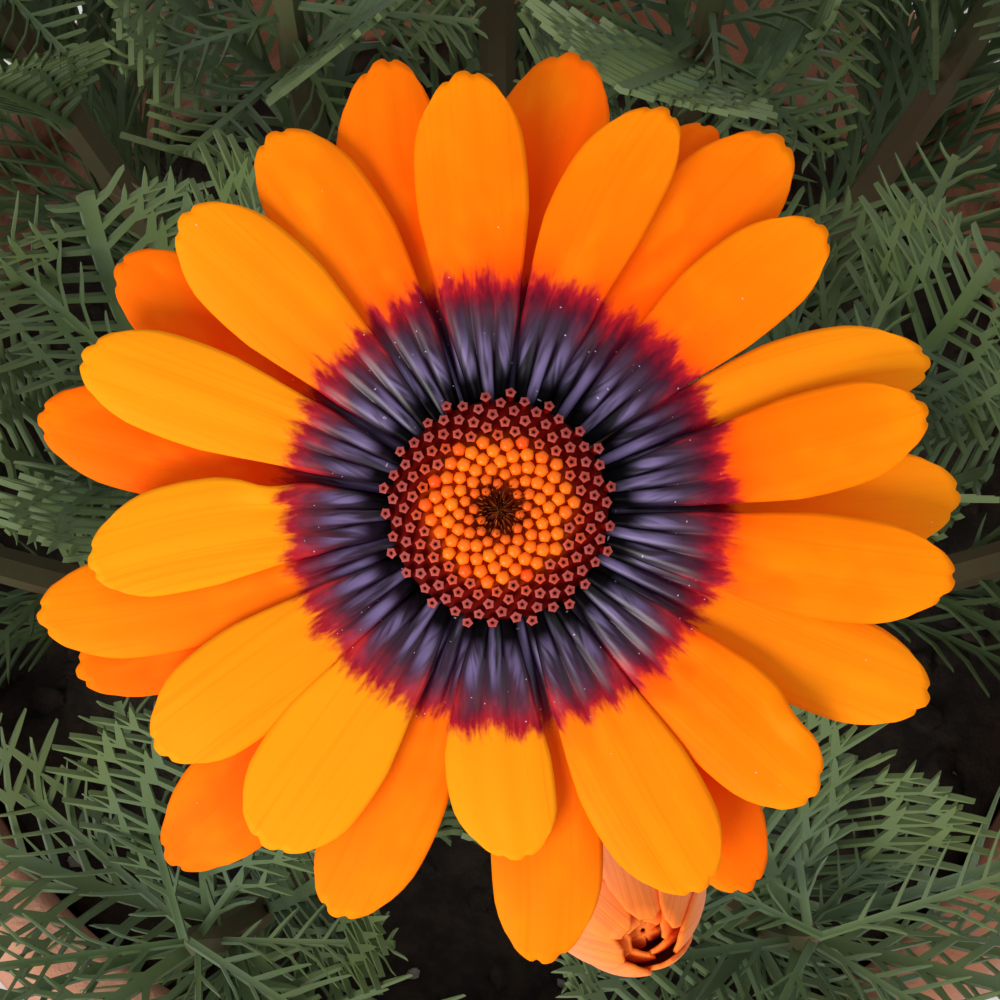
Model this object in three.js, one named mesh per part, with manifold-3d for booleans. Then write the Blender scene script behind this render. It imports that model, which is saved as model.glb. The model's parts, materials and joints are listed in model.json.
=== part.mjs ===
// A potted ursinia in flower: clay pot, soil, leafy stems, open blooms, a closing bloom and buds.
// Millimetres, Z up. The origin is the middle of the pot's underside.

import * as THREE from "three";
import { mergeVertices } from "three/addons/utils/BufferGeometryUtils.js";
import Module from "manifold-3d";

const wasm = await Module();
wasm.setup();

const { degToRad, clamp, lerp } = THREE.MathUtils;

// Pot
const POT_HEIGHT = 92;
const POT_FOOT_RADIUS = 36.5;
const POT_BODY_TOP_RADIUS = 47.5;
const RIM_HEIGHT = 20;
const RIM_LOW_RADIUS = 51.4;
const RIM_TOP_RADIUS = 52.6;
const POT_MOUTH_RADIUS = 46.4;
const POT_FLOOR = 6.5;
const POT_FLOOR_RADIUS = 31.5;
const POT_SEGMENTS = 28;
const DRAIN_HOLE_RADIUS = 4;
const DRAIN_HOLE_PITCH_RADIUS = 17;
const DRAIN_HOLE_COUNT = 3;

// Soil
const SOIL_TOP = 80;
const SOIL_GAP = 0.3;
const SOIL_SEGMENTS = 18;
const SOIL_RINGS = [39, 30, 21, 11];
const SOIL_BUMP = 1.1;
const HOLE_CLEARANCE = 0.5;

// Stems rise from the soil close together, spread like a vase and end upright, each in a cell of its own.
// Lengths across are multiplied by the flare, which grows from FLARE_START to 1 between the two heights.
const STEM_FOOT = 70;
const FLARE_TOP = 142;
const FLARE_START = 0.3;
const STEM_RADIUS = 1.5;
const STEM_SIDES = 5;
const STALK_RADIUS = 1;
const STALK_SIDES = 5;
const STALK_STEPS = 7;
const STEM_STEPS = 5;
const INNER_STEMS = { count: 5, ring: 26, turn: -90, top: 136, lowestLeaf: 98, leaves: 5 };
const OUTER_STEMS = { count: 7, ring: 53, turn: -64, top: 127, lowestLeaf: 97, leaves: 6 };

// Leaves: a thin rib with narrow lobes cut down to it
const LEAF_LENGTH = 39;
const LEAF_REACH_MOST = 33;
const LEAF_HALF_WIDTH = 10.5;
const LEAF_THICKNESS = 0.7;
const RIB_HALF_WIDTH = 0.65;
const LOBE_PLACES = [0.3, 0.53, 0.76];
const LOBE_SIZES = [0.75, 1, 0.75];
const LOBE_HALF_BASE = 0.04;
const LOBE_ANGLE = degToRad(52);
const LOBE_LIFT = 0.22;
const CELL_CLEARANCE = 1.1;
const GOLDEN_ANGLE = degToRad(137.508);

// How a leaf bends, for one that stands up beside its stem and for one that spreads out fully: the bend's
// share of its reach and of its rise, and the tip's share of its rise. A bent rib rises less than its length.
const LEAF_BEND_REACH = [0.8, 0.5];
const LEAF_BEND_RISE = [0.3, 0.95];
const LEAF_TIP_RISE = [1, 0.8];
const BENT_RISE = 0.86;

// Flower stalks: sunk in the top of the stem, leaning toward the head, and straight for a last stretch
const STALK_ROOT_DEPTH = 7;
const STALK_NECK_LENGTH = 14;
const STALK_COLUMN_SHARE = 0.35;
const STALK_RISE_SHARE = 0.55;

// Flower heads, in a frame of their own: Z along the head's axis, zero at the middle of the ray collar
const RAY_BASE_RADIUS = 5.4;
const RAY_FULL_RADIUS = 26;
const RAY_THICKNESS = 0.6;
const RAY_ARCH = 0.45;
const COLLAR_RADIUS = 6.4;
const COLLAR_HALF_HEIGHT = 0.8;
const DISC_RADIUS = 6.5;
const DISC_FOOT = 1.25;
const DISC_DOME = 1.5;
const DISC_EDGE_DROP = 0.55;
const DISC_FOOT_INSET = 0.35;
const DISC_HEART_DEPTH = 0.25;
const MAIN_DISC = { around: 24, rings: 6 };
const PLAIN_DISC = { around: 13, rings: 3 };
const CLOSING_DISC = { around: 12, rings: 3 };
const CLOSING_DISC_RADIUS = 4.4;

// Florets of a disc, as shares of the distance between two in a ring: the pull of each ring toward the
// middle, the height of the peaks, the depth of the dips, and how far in from its ring a dip lies
const FLORET_RING_PULL = 0.86;
const FLORET_PEAK = 0.28;
const FLORET_DIP = 0.16;
const FLORET_DIP_PLACE = 0.34;

const INVOLUCRE_RADIUS = 6.2;
const INVOLUCRE_DEPTH = 9;
const INVOLUCRE_PROFILE = [
  [0, -1],
  [0.3, -1],
  [0.66, -0.82],
  [0.78, -0.62],
  [0.94, -0.42],
  [1, -0.16],
];
const INVOLUCRE_MOUTH = 0.9;
const BRACT_TIP_HEIGHTS = [-0.82, -0.42];
const BRACT_STAND_OFF = 0.05;
const BRACT_REACH = 0.09;
const SEAT_GAP = 0.3;
const FULL_HEAD = { size: 1, bracts: 9 };
const PLAIN_HEAD = { size: 1, bracts: 7 };
const CLOSING_HEAD = { size: 0.67, bracts: 7 };
const BUD_HEAD = { size: 0.66, bracts: 6 };

// Forms of the ray petals: shares of the length from the base, and half widths there as shares of the width
const FINE_RAY = {
  stations: [0, 0.28, 0.56, 0.83, 0.97],
  halfWidths: [0.08, 0.31, 0.48, 0.48, 0.24],
  notch: [0.96, 0.11],
};
const PLAIN_RAY = { stations: [0, 0.45, 0.88], halfWidths: [0.09, 0.46, 0.42] };
const PLAIN_RAY_COUNT = 13;
const CLOSING_RAY = { stations: [0, 0.42, 0.8], halfWidths: [0.2, 0.5, 0.32] };
const CLOSING_RAY_WIDTH = 6.6;
const CLOSING_RAY_THICKNESS = 0.85;

// A closing bloom: its petals stand in two rounds and bend inward along a curve of [radius, height] points
const CLOSING_CURVE = [
  [5.9, 0.2],
  [9.4, 4.5],
  [8.6, 13],
  [3.1, 20],
];
const CLOSING_ROUNDS = [
  { count: 7, outset: 0, turn: 0 },
  { count: 6, outset: -1.1, turn: 0.4 },
];
const CLOSING_LEAST_RADIUS = 4;

// The rolled petals at the tip of a bud: a profile of [radius, height] points with grooves in it
const BUD_TIP_PROFILE = [
  [0, 0],
  [3.9, 0],
  [4.1, 2],
  [2.6, 5.5],
  [0, 7.4],
];
const BUD_TIP_GROOVES = 7;
const BUD_TIP_GROOVE_DEPTH = 0.09;

const POT_COLOUR = 0xb5633c;
const SOIL_COLOUR = 0x2c1d14;
const LEAF_COLOUR = 0x4d6b2c;
const RAY_COLOUR = 0xff8408;
const DISC_COLOUR = 0x8a2a12;

// The rays of the main bloom, as they lie on the real flower: the layer is 0 in front and 2 at the back,
// angles are in degrees from the right, at the base and at the tip, then tip radius and full width.
const MAIN_RAYS = [
  [0, 95, 94.5, 24.9, 6.3],
  [2, 84, 80.8, 26.4, 6.6],
  [0, 74, 67.5, 24.6, 5.6],
  [2, 62, 61, 25, 5.8],
  [1, 56.5, 52.8, 26.6, 6.4],
  [0, 43.6, 41, 24.4, 5.6],
  [1, 25.3, 19.3, 25.9, 5.4],
  [0, 11.2, 13, 24.9, 5.8],
  [2, 359.5, 361.8, 26.3, 6.2],
  [0, 349.5, 351.2, 26.1, 5.9],
  [1, 334.5, 336, 26.7, 6],
  [0, 318.5, 317.8, 24.1, 6.3],
  [2, 306.5, 303.5, 26, 5.8],
  [0, 296, 298, 24.4, 6.6],
  [1, 280, 275.8, 25.9, 6.3],
  [0, 268, 273, 19.8, 6],
  [1, 251, 248, 24.9, 6],
  [0, 235, 235, 23.2, 6.9],
  [2, 228, 227, 27.6, 6.3],
  [0.2, 213.5, 215, 23.7, 6.1],
  [2, 202, 201.4, 25.8, 5.4],
  [1, 196.5, 193.2, 26.9, 5.9],
  [0, 182.5, 187.4, 23.4, 6.1],
  [2, 169.5, 168.5, 26.8, 5.9],
  [0, 159, 159.6, 25.2, 5.7],
  [2, 147.8, 147.2, 25.9, 5.8],
  [0, 136, 136.8, 24.5, 6.2],
  [0.6, 119, 121.2, 25, 6],
  [1.4, 110.5, 104.6, 26.5, 6.1],
].map(([layer, base, tip, radius, width]) => ({ layer, base, tip, radius, width }));

// What each flowering stem carries: where the head's collar is, and how far and which way it leans
const HEADS = [
  { name: "main_bloom", stem: 0, place: [0, -50, 226], lean: 20, toward: -90, ...FULL_HEAD },
  { name: "bloom_2", stem: 9, place: [-60, 19, 197], lean: 36, toward: 165, seed: 5, ...PLAIN_HEAD },
  { name: "bloom_3", stem: 2, place: [36, 37, 208], lean: 24, toward: 42, seed: 9, ...PLAIN_HEAD },
  { name: "closing_bloom", stem: 0, place: [6.1, -55.2, 180], lean: 48, toward: -72, ...CLOSING_HEAD },
  { name: "bud_1", stem: 8, place: [-3, 61, 178], lean: 18, toward: 100, ...BUD_HEAD },
  { name: "bud_2", stem: 6, place: [60, -24, 171], lean: 30, toward: -20, ...BUD_HEAD },
  { name: "bud_3", stem: 3, place: [-24, 32, 193], lean: 12, toward: 130, ...BUD_HEAD },
];

// The places of a ring of stems, before they are drawn together toward their feet
function stemRing({ count, ring, turn, top, lowestLeaf, leaves }) {
  return Array.from({ length: count }, (_, number) => {
    const angle = degToRad(turn + (number * 360) / count);
    return { x: ring * Math.cos(angle), y: ring * Math.sin(angle), angle, top, lowestLeaf, leaves };
  });
}

const STEMS = [...stemRing(INNER_STEMS), ...stemRing(OUTER_STEMS)];

// The same draws on every run
function seededDraws(seed) {
  let state = seed * 7919 + 1;
  return () => {
    state = (state * 16807) % 2147483647;
    return state / 2147483647;
  };
}

function solidOf(geometry) {
  const bare = new THREE.BufferGeometry();
  bare.setAttribute("position", geometry.getAttribute("position"));
  bare.setIndex(geometry.index);
  const merged = mergeVertices(bare, 1e-4);
  const corners = merged.index.array;
  const triVerts = [];
  for (let i = 0; i < corners.length; i += 3) {
    const [a, b, c] = corners.slice(i, i + 3);
    if (a !== b && b !== c && c !== a) triVerts.push(a, b, c);
  }
  return new wasm.Manifold(
    new wasm.Mesh({
      numProp: 3,
      vertProperties: new Float32Array(merged.getAttribute("position").array),
      triVerts: new Uint32Array(triVerts),
    }),
  );
}

function geometryOf(solid) {
  const mesh = solid.getMesh();
  const geometry = new THREE.BufferGeometry();
  geometry.setAttribute("position", new THREE.BufferAttribute(mesh.vertProperties, mesh.numProp));
  geometry.setIndex(new THREE.BufferAttribute(mesh.triVerts, 1));
  geometry.computeVertexNormals();
  return geometry;
}

function fused(geometries) {
  return wasm.Manifold.union(geometries.map(solidOf));
}

function cut(geometry, tools) {
  return geometryOf(solidOf(geometry).subtract(fused(tools)));
}

// A closed profile of [radius, height] points, upward on the outside, turned about Z
function lathed(profile, segments) {
  const points = profile.map(([radius, height]) => new THREE.Vector2(radius, height));
  return mergeVertices(new THREE.LatheGeometry(points, segments).rotateX(Math.PI / 2).deleteAttribute("uv"));
}

// A tube of even thickness along a curve, with closed ends
function tubeAlong(curve, radius, sides, steps) {
  const section = new THREE.Shape();
  for (let side = 0; side < sides; side++) {
    const angle = (side / sides) * 2 * Math.PI;
    const x = radius * Math.cos(angle);
    const y = radius * Math.sin(angle);
    if (side === 0) section.moveTo(x, y);
    else section.lineTo(x, y);
  }
  const tube = new THREE.ExtrudeGeometry(section, { extrudePath: curve, steps, curveSegments: 1 });
  return mergeVertices(tube.deleteAttribute("uv").deleteAttribute("normal"));
}

// A closed sheet of even thickness. The points are its middle surface, the faces are numbers of points,
// anticlockwise from above, and the rim is the outline, anticlockwise from above.
function thickSheet(points, faces, rim, thickness) {
  const normals = points.map(() => new THREE.Vector3());
  for (const face of faces) {
    const [a, b, c] = face.map((number) => points[number]);
    const normal = b.clone().sub(a).cross(c.clone().sub(a));
    for (const number of face) normals[number].add(normal);
  }
  const corners = [];
  for (const side of [0.5, -0.5]) {
    points.forEach((point, number) => {
      const offset = normals[number].clone().setLength(side * thickness);
      corners.push(...point.clone().add(offset).toArray());
    });
  }
  const under = points.length;
  const index = [];
  for (const [a, b, c] of faces) index.push(a, b, c, c + under, b + under, a + under);
  rim.forEach((from, number) => {
    const to = rim[(number + 1) % rim.length];
    index.push(from, from + under, to + under, from, to + under, to);
  });
  const geometry = new THREE.BufferGeometry();
  geometry.setAttribute("position", new THREE.Float32BufferAttribute(corners, 3));
  return geometry.setIndex(index);
}

function potGeometry() {
  const rimFoot = POT_HEIGHT - RIM_HEIGHT;
  const body = lathed(
    [
      [0, 0],
      [POT_FOOT_RADIUS - 1.5, 0],
      [POT_FOOT_RADIUS, 1.5],
      [POT_BODY_TOP_RADIUS, rimFoot - 1],
      [RIM_LOW_RADIUS - 1.5, rimFoot],
      [RIM_LOW_RADIUS, rimFoot + 1.5],
      [RIM_TOP_RADIUS, POT_HEIGHT - 3],
      [RIM_TOP_RADIUS - 2.4, POT_HEIGHT],
      [POT_MOUTH_RADIUS + 1.8, POT_HEIGHT],
      [POT_MOUTH_RADIUS, POT_HEIGHT - 2],
      [POT_FLOOR_RADIUS, POT_FLOOR],
      [0, POT_FLOOR],
    ],
    POT_SEGMENTS,
  );
  const holes = [];
  for (let hole = 0; hole < DRAIN_HOLE_COUNT; hole++) {
    const angle = degToRad(90 + (hole * 360) / DRAIN_HOLE_COUNT);
    const drill = new THREE.CylinderGeometry(DRAIN_HOLE_RADIUS, DRAIN_HOLE_RADIUS, 3 * POT_FLOOR, 12);
    drill.rotateX(Math.PI / 2);
    drill.translate(DRAIN_HOLE_PITCH_RADIUS * Math.cos(angle), DRAIN_HOLE_PITCH_RADIUS * Math.sin(angle), 0);
    holes.push(drill);
  }
  return cut(body, holes);
}

// The inside radius of the pot at a height
function potInside(height) {
  const share = (height - POT_FLOOR) / (POT_HEIGHT - 2 - POT_FLOOR);
  return lerp(POT_FLOOR_RADIUS, POT_MOUTH_RADIUS, share);
}

// Height of the soil's lumpy surface above its mean level
function soilRelief(x, y) {
  return SOIL_BUMP * (Math.sin(0.31 * x + 0.9) * Math.cos(0.27 * y) + 0.5 * Math.sin(0.52 * y - 0.44 * x));
}

function soilGeometry() {
  const foot = POT_FLOOR + SOIL_GAP;
  const inside = (height) => potInside(height) - SOIL_GAP - 0.2;
  const body = lathed(
    [
      [0, foot],
      [inside(foot), foot],
      [inside(SOIL_TOP - 2), SOIL_TOP - 2],
      ...SOIL_RINGS.map((radius) => [radius, SOIL_TOP]),
      [0, SOIL_TOP],
    ],
    SOIL_SEGMENTS,
  );
  const places = body.getAttribute("position");
  for (let i = 0; i < places.count; i++) {
    if (places.getZ(i) < SOIL_TOP - 1) continue;
    places.setZ(i, SOIL_TOP + soilRelief(places.getX(i), places.getY(i)));
  }
  const holes = STEMS.map((stem) => {
    const path = new StemCurve(stem, STEM_FOOT - HOLE_CLEARANCE, SOIL_TOP + 6);
    return tubeAlong(path, STEM_RADIUS + HOLE_CLEARANCE, STEM_SIDES, 2);
  });
  return cut(body, holes);
}

// How far the stems have spread at a height
function flareAt(height) {
  const share = Math.min((height - STEM_FOOT) / (FLARE_TOP - STEM_FOOT), 1);
  return FLARE_START + (1 - FLARE_START) * Math.sin((share * Math.PI) / 2);
}

function flared(point) {
  const spread = flareAt(point.z);
  return new THREE.Vector3(point.x * spread, point.y * spread, point.z);
}

// The run of a stem's middle line between two heights
class StemCurve extends THREE.Curve {
  constructor(stem, low, high) {
    super();
    this.stem = stem;
    this.low = low;
    this.high = high;
  }

  getPoint(share, target = new THREE.Vector3()) {
    const height = lerp(this.low, this.high, share);
    return target.copy(flared(new THREE.Vector3(this.stem.x, this.stem.y, height)));
  }
}

// How far a leaf may reach from its stem in a direction before it would enter a neighbour's cell
function roomFor(stem, direction, halfWidth) {
  let room = LEAF_REACH_MOST;
  for (const other of STEMS) {
    if (other === stem) continue;
    const toward = new THREE.Vector2(other.x - stem.x, other.y - stem.y);
    const border = toward.length() / 2 - CELL_CLEARANCE;
    toward.normalize();
    const along = direction.dot(toward);
    const across = Math.abs(direction.cross(toward));
    if (along <= 0) continue;
    room = Math.min(room, (border - 0.35 * halfWidth * across) / along);
    room = Math.min(room, (border - halfWidth * across) / (0.8 * along));
  }
  return room;
}

// One feathery leaf: its rib bends in an upright plane, and pairs of narrow lobes stand off it. It is laid
// out beside an upright stem, then spread with the stems.
function leafGeometry(stem, height, angle, length) {
  const out = new THREE.Vector3(Math.cos(angle), Math.sin(angle), 0);
  const side = new THREE.Vector3(-out.y, out.x, 0);
  const halfWidth = (LEAF_HALF_WIDTH * length) / LEAF_LENGTH;
  const reach = roomFor(stem, new THREE.Vector2(out.x, out.y), halfWidth);
  const rise = Math.sqrt(Math.max(length * length - reach * reach, 0)) * BENT_RISE;
  const spreading = clamp(reach / LEAF_REACH_MOST, 0, 1);
  const root = new THREE.Vector3(stem.x, stem.y, height);
  const bend = root.clone().addScaledVector(out, reach * lerp(...LEAF_BEND_REACH, spreading));
  bend.z += rise * lerp(...LEAF_BEND_RISE, spreading);
  const end = root.clone().addScaledVector(out, reach);
  end.z += rise * lerp(...LEAF_TIP_RISE, spreading);
  const rib = new THREE.QuadraticBezierCurve3(root, bend, end);

  const points = [];
  const left = [];
  const right = [];
  const faces = [];
  const add = (point) => points.push(flared(point)) - 1;
  const addRibPair = (share) => {
    const middle = rib.getPoint(share);
    left.push(add(middle.clone().addScaledVector(side, RIB_HALF_WIDTH)));
    right.push(add(middle.clone().addScaledVector(side, -RIB_HALF_WIDTH)));
  };
  const leftRim = [];
  const rightRim = [];
  addRibPair(0);
  leftRim.push(left[0]);
  rightRim.push(right[0]);
  LOBE_PLACES.forEach((place, number) => {
    addRibPair(place - LOBE_HALF_BASE);
    addRibPair(place + LOBE_HALF_BASE);
    const along = rib.getTangent(place);
    const up = along.clone().cross(side);
    const reachOut = LOBE_SIZES[number] * halfWidth;
    for (const hand of [1, -1]) {
      const tip = rib.getPoint(place);
      tip.addScaledVector(side, hand * reachOut);
      tip.addScaledVector(along, reachOut / Math.tan(LOBE_ANGLE));
      tip.addScaledVector(up, reachOut * LOBE_LIFT);
      const lobe = add(tip);
      const edge = hand > 0 ? left : right;
      const [low, high] = edge.slice(-2);
      faces.push(hand > 0 ? [low, high, lobe] : [low, lobe, high]);
      (hand > 0 ? leftRim : rightRim).push(low, lobe, high);
    }
  });
  for (let i = 0; i + 1 < left.length; i++) {
    faces.push([right[i], right[i + 1], left[i + 1]], [right[i], left[i + 1], left[i]]);
  }
  const tip = add(end);
  faces.push([right.at(-1), tip, left.at(-1)]);
  return thickSheet(points, faces, [...rightRim, tip, ...leftRim.reverse()], LEAF_THICKNESS);
}

// The leaves of a stem climb it in a spiral and grow shorter toward its top
function leavesOf(stem, number) {
  const draw = seededDraws(number + 3);
  return Array.from({ length: stem.leaves }, (_, leaf) => {
    const share = (leaf + 0.4) / stem.leaves;
    const height = lerp(stem.lowestLeaf, stem.top - 4, share);
    const angle = stem.angle + leaf * GOLDEN_ANGLE + 0.5 * (draw() - 0.5);
    const length = LEAF_LENGTH * lerp(0.88, 1.1, draw()) * lerp(1, 0.9, share);
    return leafGeometry(stem, height, angle, length);
  });
}

// Brings a head from its own frame to its size and place on the plant
function headMatrix({ place, lean, toward, size }) {
  const heading = degToRad(toward);
  const axle = new THREE.Vector3(-Math.sin(heading), Math.cos(heading), 0);
  const turn = new THREE.Quaternion().setFromAxisAngle(axle, degToRad(lean));
  return new THREE.Matrix4().compose(new THREE.Vector3(...place), turn, new THREE.Vector3(size, size, size));
}

// The flower stalk: up out of the top of its stem, then over to the underside of its head
function stalkGeometry(stem, head) {
  const matrix = headMatrix(head);
  const foot = new StemCurve(stem, stem.top - STALK_ROOT_DEPTH, stem.top);
  const neck = new THREE.Vector3(0, 0, 1 - INVOLUCRE_DEPTH).applyMatrix4(matrix);
  const below = new THREE.Vector3(0, 0, -INVOLUCRE_DEPTH - STALK_NECK_LENGTH).applyMatrix4(matrix);
  const column = new THREE.Vector3(stem.x, stem.y, below.z).lerp(below, STALK_COLUMN_SHARE);
  const rise = foot.getPoint(1).lerp(column, STALK_RISE_SHARE);
  return tubeAlong(
    new THREE.CatmullRomCurve3([foot.getPoint(0), foot.getPoint(1), rise, below, neck]),
    STALK_RADIUS,
    STALK_SIDES,
    STALK_STEPS,
  );
}

// The green cup under a head: rows of bracts whose tips stand off its surface, staggered row by row
function involucreGeometry(bracts) {
  const radius = INVOLUCRE_RADIUS;
  const depth = INVOLUCRE_DEPTH;
  const mouth = -COLLAR_HALF_HEIGHT - SEAT_GAP;
  const wall = INVOLUCRE_PROFILE.map(([across, up]) => [across * radius, up * depth]);
  const cup = lathed([...wall, [INVOLUCRE_MOUTH * radius, mouth], [0, mouth]], 2 * bracts);
  const places = cup.getAttribute("position");
  const rowTips = BRACT_TIP_HEIGHTS.map((share) => share * depth);
  for (let i = 0; i < places.count; i++) {
    const spot = new THREE.Vector3().fromBufferAttribute(places, i);
    const row = rowTips.findIndex((height) => Math.abs(height - spot.z) < 0.01);
    if (row < 0) continue;
    const wave = Math.cos(bracts * Math.atan2(spot.y, spot.x) + row * Math.PI);
    const stretch = 1 + BRACT_STAND_OFF * (1 + wave);
    places.setXYZ(i, spot.x * stretch, spot.y * stretch, spot.z + BRACT_REACH * depth * wave);
  }
  return cup;
}

// Height of a ray's middle line over the collar, for its layer and a distance from the head's axis
function rayHeight(layer, radius) {
  const share = (radius - RAY_BASE_RADIUS) / (RAY_FULL_RADIUS - RAY_BASE_RADIUS);
  const base = 0.4 - 0.42 * layer;
  const rise = 2.2 - 2.1 * layer;
  const sag = 2.2 - 0.9 * layer;
  return base + rise * share - sag * share * share;
}

// A point of a ray: share runs from the base to the tip, across is the distance from the middle line
function rayPoint(ray, share, across) {
  const angle = degToRad(lerp(ray.base, ray.tip, share * share));
  const radius = lerp(RAY_BASE_RADIUS, ray.radius, share);
  const arch = RAY_ARCH * (1 - ((2 * across) / ray.width) ** 2);
  return new THREE.Vector3(
    radius * Math.cos(angle) - across * Math.sin(angle),
    radius * Math.sin(angle) + across * Math.cos(angle),
    rayHeight(ray.layer, radius) + arch * share,
  );
}

// A blade in three strips of points: left edge, middle line and right edge. With a notch it ends in three
// small teeth, and otherwise in one point.
function bladeGeometry(pointAt, form, width, thickness) {
  const points = [];
  const faces = [];
  const rows = form.stations.map((share, number) => {
    const half = form.halfWidths[number] * width;
    return [-half, 0, half].map((across) => points.push(pointAt(share, across)) - 1);
  });
  for (let i = 0; i + 1 < rows.length; i++) {
    for (const strip of [0, 1]) {
      const [near, nearLeft] = rows[i].slice(strip);
      const [far, farLeft] = rows[i + 1].slice(strip);
      faces.push([near, far, farLeft], [near, farLeft, nearLeft]);
    }
  }
  const end = [[1, 0]];
  if (form.notch) {
    const [share, half] = form.notch;
    end.unshift([share, -half * width]);
    end.push([share, half * width]);
  }
  const tip = end.map(([share, across]) => points.push(pointAt(share, across)) - 1);
  const [right, middle, left] = rows.at(-1);
  const fan = [right, ...tip, left];
  for (let i = 0; i + 1 < fan.length; i++) faces.push([middle, fan[i], fan[i + 1]]);
  const rightRim = rows.map((row) => row[0]);
  const leftRim = rows.map((row) => row[2]).reverse();
  return thickSheet(points, faces, [...rightRim, ...tip, ...leftRim, rows[0][1]], thickness);
}

// The ring that the rays grow from, under the disc
function collarGeometry(radius, segments) {
  return lathed(
    [
      [0, -COLLAR_HALF_HEIGHT],
      [radius, -COLLAR_HALF_HEIGHT],
      [radius, COLLAR_HALF_HEIGHT],
      [0, COLLAR_HALF_HEIGHT],
    ],
    segments,
  );
}

function raysGeometry(rays, form) {
  const blades = rays.map((ray) =>
    bladeGeometry((share, across) => rayPoint(ray, share, across), form, ray.width, RAY_THICKNESS),
  );
  return geometryOf(fused([collarGeometry(COLLAR_RADIUS, 16), ...blades]));
}

// The petals of a closing bloom, an inner round within an outer one
function closingGeometry() {
  const blades = [];
  for (const { count, outset, turn } of CLOSING_ROUNDS) {
    const [foot, low, high, [tipRadius, tipHeight]] = CLOSING_CURVE;
    const places = [foot, low, high, [tipRadius, tipHeight + outset]];
    const corners = places.map((place) => new THREE.Vector2(...place));
    const upright = new THREE.CubicBezierCurve(...corners);
    for (let number = 0; number < count; number++) {
      const angle = turn + (number / count) * 2 * Math.PI;
      const pointAt = (share, across) => {
        const { x, y } = upright.getPoint(share);
        const radius = x + outset;
        const swing = angle + across / Math.max(radius, CLOSING_LEAST_RADIUS);
        return new THREE.Vector3(radius * Math.cos(swing), radius * Math.sin(swing), y);
      };
      blades.push(bladeGeometry(pointAt, CLOSING_RAY, CLOSING_RAY_WIDTH, CLOSING_RAY_THICKNESS));
    }
  }
  return geometryOf(fused([collarGeometry(COLLAR_RADIUS - 0.6, 14), ...blades]));
}

// The tip of a bud: ray petals still rolled together, with a groove between each two
function budTipGeometry() {
  const tip = lathed(BUD_TIP_PROFILE, 2 * BUD_TIP_GROOVES);
  const places = tip.getAttribute("position");
  for (let i = 0; i < places.count; i++) {
    const angle = Math.atan2(places.getY(i), places.getX(i));
    const squeeze = 1 - BUD_TIP_GROOVE_DEPTH * (1 - Math.cos(BUD_TIP_GROOVES * angle));
    places.setXY(i, places.getX(i) * squeeze, places.getY(i) * squeeze);
  }
  return tip;
}

// The rays of a plainer bloom: evenly spaced, every other one in front, with drawn differences
function drawnRays(seed) {
  const draw = seededDraws(seed);
  return Array.from({ length: PLAIN_RAY_COUNT }, (_, number) => {
    const base = ((number + 0.3 * (draw() - 0.5)) * 360) / PLAIN_RAY_COUNT;
    const tip = base + 5 * (draw() - 0.5);
    const layer = number % 2 === 0 ? 0.1 : 1.3;
    return { layer, base, tip, radius: lerp(23, 25.5, draw()) + 0.6 * layer, width: lerp(6.6, 7.6, draw()) };
  });
}

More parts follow.
